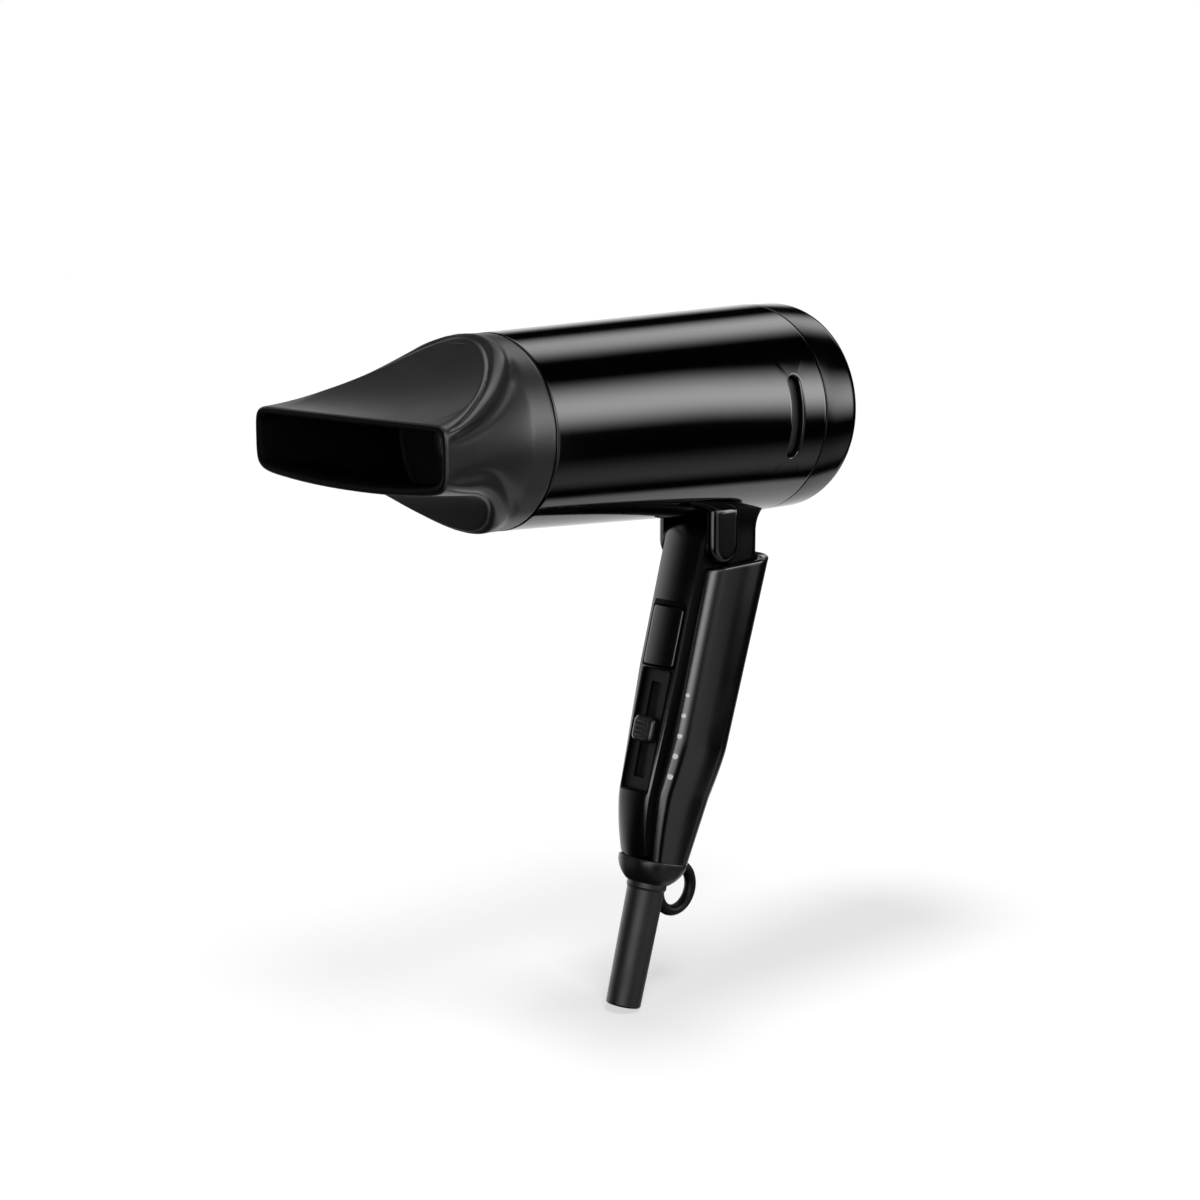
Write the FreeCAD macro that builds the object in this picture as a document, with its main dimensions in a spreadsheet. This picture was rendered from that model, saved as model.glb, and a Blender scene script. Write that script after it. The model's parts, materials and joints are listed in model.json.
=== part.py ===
"""Folding travel hair dryer with a slot nozzle, as a parametric FreeCAD document.

Lengths are in millimetres. The row's origin is the centre of the grip, where a hand holds the
handle; +Z is up, the barrel lies along X and its nozzle points towards -X. Pieces are drawn in
one of two frames and then placed:
  barrel frame  origin on the barrel's axis, X along it, the fold pivot below it
  handle frame  origin on the grip's axis at the height of the fold pivot, Z up along the grip,
                leaning forward by the sheet's lean angle
"""
import FreeCAD, Part
import math
import os

from FreeCAD import Placement, Rotation, Vector
import Sketcher

NUMBERS = {
    # the two frames
    "lean_angle": 15.7,
    "grip_below_pivot": 55.2,
    "pivot_ahead_of_grip": 7.0,
    "pivot_along_barrel": 8.2,
    "pivot_below_barrel": 39.0,
    # barrel housing
    "housing_front_x": -75.5,
    "housing_rear_x": 29.6,
    "housing_front_radius": 27.2,
    "housing_rear_radius": 31.5,
    "housing_wall": 2.0,
    "ring_land_length": 12.0,
    "cap_rebate_depth": 6.0,
    "vent_x": 17.5,
    "vent_width": 4.5,
    "vent_reach": 10.0,
    # neck under the housing
    "neck_half_width": 10.0,
    "neck_rear": 18.3,
    "neck_rear_corner": 5.5,
    "tongue_depth": 13.5,
    "ear_radius": 6.0,
    "ear_inner": 9.1,
    "ear_outer": 12.2,
    "knuckle_clearance": 7.8,
    "pin_radius": 2.0,
    "pin_half_length": 11.0,
    "running_clearance": 0.05,
    # rear cap and filter
    "cap_front_x": 30.0,
    "cap_rear_x": 46.7,
    "cap_radius": 31.4,
    "cap_wall": 2.0,
    "cap_edge_radius": 4.5,
    "grille_hole_radius": 1.35,
    "grille_ring_pitch": 4.3,
    "filter_thickness": 0.8,
    # fan and motor
    "duct_front_x": -18.0,
    "duct_rear_x": 22.6,
    "duct_wall": 1.5,
    "duct_gap": 0.1,
    "hub_outer": 15.2,
    "motor_radius": 13.8,
    "motor_front_x": -22.0,
    "motor_rear_x": 7.0,
    "vane_count": 7,
    "vane_thickness": 1.2,
    "shaft_radius": 1.15,
    "bush_radius": 3.0,
    "blade_count": 7,
    "blade_pitch": 38.0,
    "blade_thickness": 1.1,
    "impeller_radius": 25.6,
    "impeller_hub_radius": 8.0,
    "impeller_front_x": 10.4,
    "impeller_rear_x": 20.4,
    # heater
    "heater_front_x": -63.0,
    "heater_rear_x": -30.0,
    "mica_half_height": 20.4,
    "mica_thickness": 0.8,
    "liner_radius": 23.3,
    "liner_wall": 0.5,
    "coil_radius": 18.6,
    "coil_wire": 1.1,
    "coil_count": 5,
    "coil_pitch": 6.4,
    # outlet ring and grille
    "ring_front_x": -87.0,
    "ring_rear_x": -65.0,
    "ring_radius": 25.14,
    "ring_bore": 23.4,
    "spigot_radius": 24.9,
    "grille_front_x": -74.0,
    "grille_depth": 3.0,
    # nozzle
    "collar_rear_x": -75.8,
    "collar_front_x": -84.0,
    "collar_radius": 27.1,
    "mouth_x": -125.0,
    "throat_x": -114.0,
    "keel_x": -102.0,
    "mouth_half_width": 40.0,
    "mouth_side_height": 19.0,
    "mouth_top": 7.9,
    "mouth_bottom": -11.5,
    "nozzle_wall": 2.0,
    "top_arc_radius": 80.0,
    "bottom_arc_radius": 140.0,
    # handle outline
    "front_face": -14.5,
    "shell_front": -10.5,
    "shell_rear": 15.2,
    "shell_rear_flare": 2.5,
    "shell_half_width": 13.2,
    "shell_front_corner": 4.5,
    "shell_rear_corner": 10.0,
    "shell_wall": 1.8,
    "rim_below_pivot": 6.5,
    "rim_slope": 0.05,
    "taper_start": -60.0,
    "taper_middle": -76.0,
    "shell_bottom": -97.2,
    "middle_scale": 0.85,
    "bottom_scale": 0.69,
    "front_taper_start": -78.0,
    "front_taper_middle": -88.0,
    "front_middle_scale": 0.89,
    "front_bottom_scale": 0.65,
    # front panel, switches
    "knuckle_radius": 7.5,
    "panel_half_width": 8.5,
    "panel_bottom_half_width": 5.7,
    "panel_narrows_below": -40.0,
    "panel_wall": 1.6,
    "channel_half_width": 5.6,
    "opening_half_width": 5.2,
    "button_room_half_width": 6.9,
    "button_half_width": 6.1,
    "button_top": -21.0,
    "button_length": 18.4,
    "button_proud": 0.8,
    "button_travel": 1.5,
    "plate_top": -40.4,
    "plate_length": 36.4,
    "knob_centre": -58.6,
    "knob_length": 9.2,
    "knob_travel": 12.4,
    "board_front": 0.0,
    "board_thickness": 1.6,
    "screw_height": -89.0,
    # bottom end
    "end_cap_bottom": -104.4,
    "guard_top_radius": 5.7,
    "guard_end_radius": 5.35,
    "guard_bore_radius": 3.4,
    "guard_end": -142.6,
    "loop_out": 12.9,
    "loop_down": -105.5,
    "loop_radius": 7.1,
    "loop_thickness": 1.9,
}

doc = FreeCAD.newDocument("HairDryer")
sheet = doc.addObject("Spreadsheet::Sheet", "Sizes")
for row, (alias, number) in enumerate(NUMBERS.items(), start=1):
    sheet.set(f"A{row}", alias)
    sheet.set(f"B{row}", str(number))
    sheet.setAlias(f"B{row}", alias)
doc.recompute()


class Size:
    """A number together with the spreadsheet formula that it comes from."""

    def __init__(self, value, formula):
        self.value = value
        self.formula = formula

    def combine(self, other, sign, reverse=False):
        other = as_size(other)
        left, right = (other, self) if reverse else (self, other)
        results = {
            "+": lambda: left.value + right.value,
            "-": lambda: left.value - right.value,
            "*": lambda: left.value * right.value,
            "/": lambda: left.value / right.value,
        }
        return Size(results[sign](), f"({left.formula} {sign} {right.formula})")

    def __add__(self, other):
        return self.combine(other, "+")

    def __radd__(self, other):
        return self.combine(other, "+", reverse=True)

    def __sub__(self, other):
        return self.combine(other, "-")

    def __rsub__(self, other):
        return self.combine(other, "-", reverse=True)

    def __mul__(self, other):
        return self.combine(other, "*")

    def __rmul__(self, other):
        return self.combine(other, "*", reverse=True)

    def __truediv__(self, other):
        return self.combine(other, "/")

    def __neg__(self):
        return as_size(0) - self


def as_size(number):
    """A plain number as a Size; a Size unchanged."""
    if isinstance(number, Size):
        return number
    return Size(float(number), f"{float(number):g}")


class Sheet:
    """Sizes by name, as attributes."""

    def __getattr__(self, alias):
        return Size(NUMBERS[alias], f"Sizes.{alias}")


s = Sheet()
sine = Size(math.sin(math.radians(NUMBERS["lean_angle"])), "sin(Sizes.lean_angle * 1deg)")
cosine = Size(math.cos(math.radians(NUMBERS["lean_angle"])), "cos(Sizes.lean_angle * 1deg)")

# The handle frame's origin and the barrel frame's origin, in the row's frame.
HANDLE_X = s.grip_below_pivot * sine
HANDLE_Z = s.grip_below_pivot * cosine
PIVOT_X = HANDLE_X - s.pivot_ahead_of_grip * cosine
PIVOT_Z = HANDLE_Z + s.pivot_ahead_of_grip * sine
BARREL_X = PIVOT_X - s.pivot_along_barrel
BARREL_Z = PIVOT_Z + s.pivot_below_barrel

ALONG_X = Rotation(Vector(0, 1, 0), 90)
ALONG_Y = Rotation(Vector(1, 0, 0), -90)
FACING_X = Rotation(Vector(1, 1, 1), 120)
SIDE_VIEW = Rotation(Vector(1, 0, 0), 90)

nodes = []


def bind(item, **sizes):
    """Tie an object's properties to the sheet; a double underscore stands for a dot."""
    for prop, size in sizes.items():
        item.setExpression(prop.replace("__", "."), as_size(size).formula)
    return item


def place_in_barrel(item):
    bind(item, Placement__Base__x=BARREL_X, Placement__Base__z=BARREL_Z)
    nodes.append(item)


def place_in_handle(item):
    item.Placement = Placement(Vector(), Rotation(Vector(0, 1, 0), NUMBERS["lean_angle"]))
    bind(item, Placement__Base__x=HANDLE_X, Placement__Base__z=HANDLE_Z)
    bind(item, Placement__Rotation__Angle=s.lean_angle)
    nodes.append(item)


# ---------------------------------------------------------------- sketches

def draw(sketch, outline):
    """Draw one closed outline, every vertex and radius tied to the sheet.

    The outline lists vertices (x, y); an item ("arc", radius, side) between two vertices joins
    them by a short arc that bulges to the left (side 1) or right (side -1) of the way there.
    """
    corners = [item for item in outline if item[0] != "arc"]
    edges = {}
    count = -1
    for item in outline:
        if item[0] == "arc":
            edges[count] = item
        else:
            count += 1
    first = sketch.GeometryCount
    for index, (x, y) in enumerate(corners):
        start = Vector(as_size(x).value, as_size(y).value, 0)
        end_x, end_y = corners[(index + 1) % len(corners)]
        end = Vector(as_size(end_x).value, as_size(end_y).value, 0)
        if index in edges:
            sketch.addGeometry(arc_between(start, end, as_size(edges[index][1]).value, edges[index][2]))
        else:
            sketch.addGeometry(Part.LineSegment(start, end))
    starts = [point_at(sketch, first + index, x, y) for index, (x, y) in enumerate(corners)]
    for index, (x, y) in enumerate(corners):
        here = first + index
        following = (index + 1) % len(corners)
        sketch.addConstraint(Sketcher.Constraint(
            "Coincident", here, 3 - starts[index], first + following, starts[following]))
        fix(sketch, "DistanceX", here, starts[index], x)
        fix(sketch, "DistanceY", here, starts[index], y)
        if index in edges:
            radius = as_size(edges[index][1])
            number = sketch.addConstraint(Sketcher.Constraint("Radius", here, radius.value))
            sketch.setExpression(f"Constraints[{number}]", radius.formula)


def point_at(sketch, geometry, x, y):
    """1 or 2: the end of a line or arc that lies at (x, y), since a sketch may turn an arc round."""
    corner = Vector(as_size(x).value, as_size(y).value, 0)
    return 1 if sketch.getPoint(geometry, 1).distanceToPoint(corner) < 1e-6 else 2


def fix(sketch, kind, geometry, point, size):
    size = as_size(size)
    number = sketch.addConstraint(Sketcher.Constraint(kind, -1, 1, geometry, point, size.value))
    sketch.setExpression(f"Constraints[{number}]", size.formula)


def arc_between(start, end, radius, side):
    """The short arc from start to end that bulges to the given side."""
    along = end.sub(start)
    half = along.Length / 2
    left = Vector(-along.y, along.x, 0).normalize()
    rise = radius - math.sqrt(max(radius * radius - half * half, 0))
    middle = start + along * 0.5 + left * (rise * side)
    return Part.Arc(start, middle, end)


def circle(sketch, x, y, radius):
    """A full circle, its centre and radius tied to the sheet."""
    x, y, radius = as_size(x), as_size(y), as_size(radius)
    here = sketch.addGeometry(Part.Circle(Vector(x.value, y.value, 0), Vector(0, 0, 1), radius.value))
    fix(sketch, "DistanceX", here, 3, x)
    fix(sketch, "DistanceY", here, 3, y)
    number = sketch.addConstraint(Sketcher.Constraint("Radius", here, radius.value))
    sketch.setExpression(f"Constraints[{number}]", radius.formula)


def rectangle(x_low, x_high, y_low, y_high):
    return [(x_low, y_low), (x_high, y_low), (x_high, y_high), (x_low, y_high)]


def rounded_section(front, rear, half_width, front_corner, rear_corner):
    """A grip's cross-section: flat faces joined by quarter arcs."""
    return [
        (front + front_corner, -half_width), (rear - rear_corner, -half_width),
        ("arc", rear_corner, -1),
        (rear, rear_corner - half_width), (rear, half_width - rear_corner),
        ("arc", rear_corner, -1),
        (rear - rear_corner, half_width), (front + front_corner, half_width),
        ("arc", front_corner, -1),
        (front, half_width - front_corner), (front, front_corner - half_width),
        ("arc", front_corner, -1),
    ]


def new_body(label):
    body = doc.addObject("PartDesign::Body", label)
    body.Label = label
    return body


def origin_plane(body, role):
    return next(plane for plane in body.Origin.OriginFeatures if plane.Role == role)


def sketch_on(body, role, *outlines, offset=None, circles=()):
    """A sketch of outlines and circles on one of the body's own planes."""
    sketch = body.newObject("Sketcher::SketchObject", f"{body.Name}_sketch")
    sketch.AttachmentSupport = [(origin_plane(body, role), "")]
    sketch.MapMode = "FlatFace"
    if offset is not None:
        sketch.AttachmentOffset = Placement(Vector(0, 0, as_size(offset).value), Rotation())
        sketch.setExpression("AttachmentOffset.Base.z", as_size(offset).formula)
    for outline in outlines:
        draw(sketch, outline)
    for x, y, radius in circles:
        circle(sketch, x, y, radius)
    return sketch


def feature(body, kind, sketch, **settings):
    item = body.newObject(f"PartDesign::{kind}", f"{body.Name}_{kind.lower()}")
    item.Profile = sketch
    for prop, setting in settings.items():
        setattr(item, prop, setting)
    return item


def across(body, kind, sketch, width):
    """A pad or pocket of a side view, as wide as given and centred on the middle plane."""
    return bind(feature(body, kind, sketch, SideType="Symmetric"), Length=width)


def turned(body, kind, sketch, axis="H_Axis"):
    return feature(body, kind, sketch, ReferenceAxis=(sketch, [axis]), Angle=360.0)


def from_front(body, start, depth, *outlines):
    """A pocket cut rearwards from the plane at start."""
    pocket = feature(body, "Pocket", sketch_on(body, "YZ_Plane", *outlines, offset=start))
    pocket.Reversed = True
    return bind(pocket, Length=depth)


def upward(body, kind, sketch, height):
    return bind(feature(body, kind, sketch), Length=height)


def repeat_around_barrel(body, original, count):
    pattern = body.newObject("PartDesign::PolarPattern", f"{body.Name}_pattern")
    pattern.Originals = [original]
    pattern.Axis = (next(a for a in body.Origin.OriginFeatures if a.Role == "X_Axis"), [""])
    pattern.Angle = 360.0
    pattern.Occurrences = count
    body.Tip = pattern
    return pattern


# ------------------------------------------------------- primitives and booleans

def rod(name, axis, radius, low, high, first=0.0, second=0.0):
    """A round bar along one axis from low to high, at the other two coordinates given."""
    item = doc.addObject("Part::Cylinder", name)
    item.Placement = Placement(Vector(), {"X": ALONG_X, "Y": ALONG_Y, "Z": Rotation()}[axis])
    ends = {"X": ("x", "y", "z"), "Y": ("y", "x", "z"), "Z": ("z", "x", "y")}[axis]
    bind(item, Radius=radius, Height=as_size(high) - low)
    for letter, size in zip(ends, (low, first, second)):
        item.setExpression(f"Placement.Base.{letter}", as_size(size).formula)
    return item


def block(name, x_range, y_range, z_range):
    item = doc.addObject("Part::Box", name)
    spans = [as_size(high) - low for low, high in (x_range, y_range, z_range)]
    bind(item, Length=spans[0], Width=spans[1], Height=spans[2])
    lows = (x_range[0], y_range[0], z_range[0])
    bind(item, Placement__Base__x=lows[0], Placement__Base__y=lows[1], Placement__Base__z=lows[2])
    return item


def middle(half):
    """The range from minus half to plus half."""
    return (-as_size(half), as_size(half))


def fuse(label, *pieces):
    item = doc.addObject("Part::MultiFuse", label)
    item.Shapes = list(pieces)
    return item


def cut(label, base, *tools):
    item = doc.addObject("Part::Cut", label)
    item.Base = base
    item.Tool = tools[0] if len(tools) == 1 else fuse(f"{label}_cutters", *tools)
    return item


def common(label, first, second):
    item = doc.addObject("Part::MultiCommon", label)
    item.Shapes = [first, second]
    return item


def group(label, *pieces):
    item = doc.addObject("Part::Compound", label)
    item.Links = list(pieces)
    return item


def tube(label, outer, inner, low, high):
    return cut(label, rod(f"{label}_outside", "X", outer, low, high),
               rod(f"{label}_inside", "X", inner, as_size(low) - 1, as_size(high) + 1))


# ---------------------------------------------------------------- barrel

def housing_radius(x):
    """Outside radius of the tapered housing at x."""
    slope = (s.housing_rear_radius - s.housing_front_radius) / (s.housing_rear_x - s.housing_front_x)
    return s.housing_front_radius + slope * (x - s.housing_front_x)


def bore_radius(x):
    return housing_radius(x) - s.housing_wall


def barrel_housing():
    """Tapered tube with the hinge neck under it, a vent on each side and two ring seats inside."""
    body = new_body("barrel_housing")
    turned(body, "Revolution", sketch_on(body, "XZ_Plane", [
        (s.housing_front_x, 0), (s.housing_rear_x, 0),
        (s.housing_rear_x, s.housing_rear_radius), (s.housing_front_x, s.housing_front_radius)]))
    x, z = s.pivot_along_barrel, -s.pivot_below_barrel
    plan = rounded_section(x + 3, x + s.neck_rear, s.neck_half_width, as_size(1.0), s.neck_rear_corner)
    neck_top = z + 13
    neck_low = z - s.tongue_depth
    upward(body, "Pad", sketch_on(body, "XY_Plane", plan, offset=neck_low), neck_top - neck_low)
    below_tongue = [(x + s.neck_rear + 1, z - 5), (x + 13, z - 10.5), (x + 9, neck_low - 0.1),
                    (x + s.neck_rear + 1, neck_low - 0.1)]
    across(body, "Pocket", sketch_on(body, "XZ_Plane", below_tongue), 40)
    ears = rectangle(x - s.ear_radius, x + s.ear_radius, z, z + 12)
    across(body, "Pad", sketch_on(body, "XZ_Plane", ears), 2 * s.ear_outer)
    across(body, "Pad", sketch_on(body, "XZ_Plane", circles=[(x, z, s.ear_radius)]), 2 * s.ear_outer)
    slot = rectangle(x - 20, x, z - 20, z + s.knuckle_clearance + 0.4)
    across(body, "Pocket", sketch_on(body, "XZ_Plane", slot), 2 * s.ear_inner)
    across(body, "Pocket", sketch_on(body, "XZ_Plane", circles=[(x, z, s.knuckle_clearance)]),
           2 * s.ear_inner)
    across(body, "Pocket", sketch_on(body, "XZ_Plane", circles=[(x, z, s.pin_radius)]),
           2 * s.pin_half_length)
    land = s.housing_front_x + s.ring_land_length
    seat = s.ring_radius + s.running_clearance
    rebate = s.housing_rear_x - s.cap_rebate_depth
    bead = s.housing_front_x + 4
    turned(body, "Groove", sketch_on(body, "XZ_Plane", [
        (s.housing_front_x - 1, 0), (s.housing_rear_x + 1, 0),
        (s.housing_rear_x + 1, s.housing_rear_radius - 1),
        (rebate, s.housing_rear_radius - 1), (rebate, bore_radius(rebate)), (land, bore_radius(land)),
        (land, seat), (bead + 2.1, seat), (bead + 2.1, seat + 0.7), (bead - 0.1, seat + 0.7),
        (bead - 0.1, seat), (s.housing_front_x - 1, seat)]))
    half = s.vent_width / 2
    vent = [(s.vent_x - half, -s.vent_reach), ("arc", half + 0.001, -1), (s.vent_x + half, -s.vent_reach),
            (s.vent_x + half, s.vent_reach), ("arc", half + 0.001, -1), (s.vent_x - half, s.vent_reach)]
    across(body, "Pocket", sketch_on(body, "XZ_Plane", vent), 80)
    place_in_barrel(body)


def rear_cap():
    """Cup that closes the rear: a skirt inside the housing, a rounded edge and an intake grille."""
    body = new_body("rear_cap")
    inside = s.cap_radius - s.cap_wall
    skirt = s.housing_rear_radius - 1.1
    face = s.cap_rear_x - 2
    turned(body, "Revolution", sketch_on(body, "XZ_Plane", [
        (s.housing_rear_x - 5, inside - 0.8), (s.housing_rear_x - 5, skirt),
        (s.housing_rear_x, skirt), (s.cap_front_x, s.cap_radius),
        (s.cap_rear_x - s.cap_edge_radius, s.cap_radius), ("arc", s.cap_edge_radius, 1),
        (s.cap_rear_x, s.cap_radius - s.cap_edge_radius), (s.cap_rear_x, 0), (face, 0),
        (face, s.cap_radius - s.cap_edge_radius - 1.2), (s.cap_rear_x - s.cap_edge_radius, inside - 0.8)]))
    centre = sketch_on(body, "YZ_Plane", offset=s.cap_rear_x + 1, circles=[(0, 0, s.grille_hole_radius)])
    bind(feature(body, "Pocket", centre), Length=6)
    for ring in range(1, 6):
        hole = sketch_on(body, "YZ_Plane", offset=s.cap_rear_x + 1,
                         circles=[(ring * s.grille_ring_pitch, 0, s.grille_hole_radius)])
        pocket = bind(feature(body, "Pocket", hole), Length=6)
        repeat_around_barrel(body, pocket, 6 * ring)
    place_in_barrel(body)


def filter_screen():
    """Lint screen in its rim, just inside the intake grille."""
    rim = tube("filter_rim", s.cap_radius - 3, s.cap_radius - 4.4, 33.6, 36.8)
    screen = rod("filter_mesh", "X", s.cap_radius - 4, 35, 35 + s.filter_thickness)
    item = fuse("filter_screen", rim, screen)
    place_in_barrel(item)


def fan_duct():
    """Tapered duct with a motor cup held in the middle by stator vanes."""
    front, rear = s.duct_front_x, s.duct_rear_x
    body = new_body("fan_duct")
    turned(body, "Revolution", sketch_on(body, "XZ_Plane", [
        (front, bore_radius(front) - s.duct_gap - s.duct_wall),
        (rear, bore_radius(rear) - s.duct_gap - s.duct_wall),
        (rear, bore_radius(rear) - s.duct_gap), (front, bore_radius(front) - s.duct_gap)]))
    vane_bottom = s.hub_outer - 0.6
    vane_rear = front + 19
    vane = rectangle(front + 3, vane_rear, vane_bottom, bore_radius(vane_rear) - 1.2)
    pad = across(body, "Pad", sketch_on(body, "XZ_Plane", vane), s.vane_thickness)
    pattern = repeat_around_barrel(body, pad, NUMBERS["vane_count"])
    body.Tip = pattern
    cup_wall = s.motor_radius + 0.1
    turned(body, "Revolution", sketch_on(body, "XZ_Plane", [
        (front, cup_wall), (s.motor_rear_x + 1.6, cup_wall), (s.motor_rear_x + 1.6, s.hub_outer),
        (front, s.hub_outer)]))
    lip = s.motor_rear_x
    turned(body, "Revolution", sketch_on(body, "XZ_Plane", [
        (lip + 0.1, s.bush_radius + 2), (lip + 1.6, s.bush_radius + 2),
        (lip + 1.6, cup_wall + 0.5), (lip + 0.1, cup_wall + 0.5)]))
    place_in_barrel(body)


def motor():
    """Direct-current fan motor: can, brush end cap, two bushes and the shaft."""
    front, rear = s.motor_front_x, s.motor_rear_x
    can = cut("motor_can", rod("can_outside", "X", s.motor_radius, front, rear),
              rod("can_inside", "X", s.motor_radius - 0.8, front - 1, rear - 1),
              rod("can_bush_hole", "X", s.bush_radius, rear - 2, rear + 1))
    end_cap = cut("motor_end_cap", rod("end_cap_disc", "X", s.motor_radius, front - 2.4, front),
                  rod("end_cap_bush_hole", "X", s.bush_radius, front - 3, front + 1))
    bush_bore = s.shaft_radius + s.running_clearance
    rear_bush = tube("rear_bush", s.bush_radius, bush_bore, rear - 1.6, rear + 1.4)
    front_bush = tube("front_bush", s.bush_radius, bush_bore, front - 2.4, front + 0.4)
    armature = rod("armature_core", "X", s.motor_radius - 2.4, front + 5, rear - 5)
    shaft = fuse("motor_armature", rod("shaft_rod", "X", s.shaft_radius, front - 4, s.impeller_rear_x - 1),
                 armature)
    magnets = group("motor_magnets", *(
        magnet(f"magnet_{name}", side, front + 4, rear - 4) for name, side in (("upper", 1), ("lower", -1))))
    for item in (can, end_cap, rear_bush, front_bush, shaft, magnets):
        place_in_barrel(item)


def magnet(name, side, low, high):
    """One curved field magnet against the can's wall."""
    ring = tube(f"{name}_ring", s.motor_radius - 0.9, s.motor_radius - 2.0, low, high)
    arc = block(f"{name}_arc", (low, high), middle(9), (6, 14) if side > 0 else (-14, -6))
    return common(name, ring, arc)


def impeller():
    """Axial fan: a domed hub with pitched blades, pressed on the shaft."""
    front, rear = s.impeller_front_x, s.impeller_rear_x
    blades = []
    for index in range(NUMBERS["blade_count"]):
        blade = doc.addObject("Part::Box", f"blade_{index + 1}")
        bind(blade, Length=11.0, Width=s.blade_thickness, Height=s.impeller_radius + 4)
        turn = Rotation(Vector(1, 0, 0), 360.0 * index / NUMBERS["blade_count"])
        pitch = Rotation(Vector(0, 0, 1), NUMBERS["blade_pitch"])
        offset = Vector(-5.5, -NUMBERS["blade_thickness"] / 2, 0)
        centre = Vector((NUMBERS["impeller_front_x"] + NUMBERS["impeller_rear_x"]) / 2, 0, 0)
        blade.Placement = Placement(centre, turn).multiply(Placement(Vector(), pitch)).multiply(
            Placement(offset, Rotation()))
        blades.append(blade)
    disc = rod("blade_envelope", "X", s.impeller_radius, front, rear)
    trimmed = common("impeller_blades", fuse("blade_set", *blades), disc)
    hub = rod("impeller_hub", "X", s.impeller_hub_radius, front, rear)
    whole = fuse("impeller_blank", hub, trimmed)
    item = cut("impeller", whole, rod("impeller_bore", "X", s.shaft_radius, front - 1, rear - 1))
    place_in_barrel(item)


def rectifier():
    """Small round board ahead of the motor with its four diodes."""
    rear = s.motor_front_x - 6
    board = cut("diode_board", rod("board_disc", "X", 12.5, rear - 1.4, rear),
                rod("board_hole", "X", 2.2, rear - 3, rear + 1))
    diodes = group("rectifier_diodes", *(
        rod(f"diode_{i + 1}", "Y", 1.5, y, y + 5, rear + 1.6, z)
        for i, (y, z) in enumerate(((-8, 5), (3, 5), (-8, -5), (3, -5)))))
    for item in (board, diodes):
        place_in_barrel(item)


def coil_rings(name, wire):
    """The heating wire as rings round the mica cross."""
    rings = []
    for index in range(NUMBERS["coil_count"]):
        ring = doc.addObject("Part::Torus", f"{name}_{index + 1}")
        ring.Placement = Placement(Vector(), ALONG_X)
        bind(ring, Radius1=s.coil_radius, Radius2=wire,
             Placement__Base__x=s.heater_front_x + 5.4 + index * s.coil_pitch)
        rings.append(ring)
    return rings


def heater():
    """Mica cross with its heating wire, thermostat and thermal fuse, in a mica liner."""
    front, rear, half = s.heater_front_x, s.heater_rear_x, s.mica_half_height
    thin = s.mica_thickness / 2
    middle_x = (front + rear) / 2
    notches = fuse("mica_notches", *coil_rings("notch", s.coil_wire + 0.1))
    upright = cut("mica_board_upright", block("upright_sheet", (front, rear), middle(thin), middle(half)),
                  block("upright_slot", (middle_x, rear + 1), middle(1), middle(thin + 0.05)), notches)
    flat = cut("mica_board_flat", block("flat_sheet", (front, rear), middle(half), middle(thin)),
               block("flat_slot", (front - 1, middle_x), middle(thin + 0.05), middle(1)), notches)
    wires = group("heating_wires", *coil_rings("wire_ring", s.coil_wire))
    liner = tube("mica_liner", s.liner_radius, s.liner_radius - s.liner_wall, front - 1, rear + 2)
    thermostat = group("thermostat", block("thermostat_case", (rear - 16, rear - 6), (thin + 0.05, thin + 4),
                                           (4, 11)))
    fuse_body = group("thermal_fuse", rod("fuse_tube", "X", 1.7, rear - 16, rear - 6, -(thin + 1.8), -7))
    for item in (upright, flat, wires, liner, thermostat, fuse_body):
        place_in_barrel(item)


def outlet_ring():
    """Ring that turns in the housing's mouth; the nozzle's collar pushes on to its spigot."""
    bead = s.housing_front_x + 4
    body = new_body("outlet_ring")
    turned(body, "Revolution", sketch_on(body, "XZ_Plane", [
        (s.ring_front_x, s.ring_bore), (s.ring_rear_x, s.ring_bore), (s.ring_rear_x, s.ring_radius),
        (bead + 2, s.ring_radius), (bead + 2, s.ring_radius + 0.6), (bead, s.ring_radius + 0.6),
        (bead, s.ring_radius), (s.housing_front_x - 0.1, s.ring_radius),
        (s.housing_front_x - 0.1, s.spigot_radius), (s.ring_front_x, s.spigot_radius)]))
    place_in_barrel(body)


def outlet_grille():
    """Metal guard of rings and bars inside the outlet ring."""
    front, rear = s.grille_front_x, s.grille_front_x + s.grille_depth
    rings = [tube(f"guard_ring_{i + 1}", radius, radius - 1.1, front, rear)
             for i, radius in enumerate((5.5, 11.5, 17.5, s.ring_bore))]
    bars = []
    for index in range(3):
        bar = doc.addObject("Part::Box", f"guard_bar_{index + 1}")
        bind(bar, Length=s.grille_depth, Width=1.1, Height=2 * s.ring_bore - 1)
        turn = Rotation(Vector(1, 0, 0), 60.0 * index)
        corner = Vector(0, -0.55, 0.5 - NUMBERS["ring_bore"])
        bar.Placement = Placement(Vector(NUMBERS["grille_front_x"], 0, 0), turn).multiply(
            Placement(corner, Rotation()))
        bars.append(bar)
    item = fuse("outlet_grille", *rings, *bars)
    place_in_barrel(item)


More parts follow.
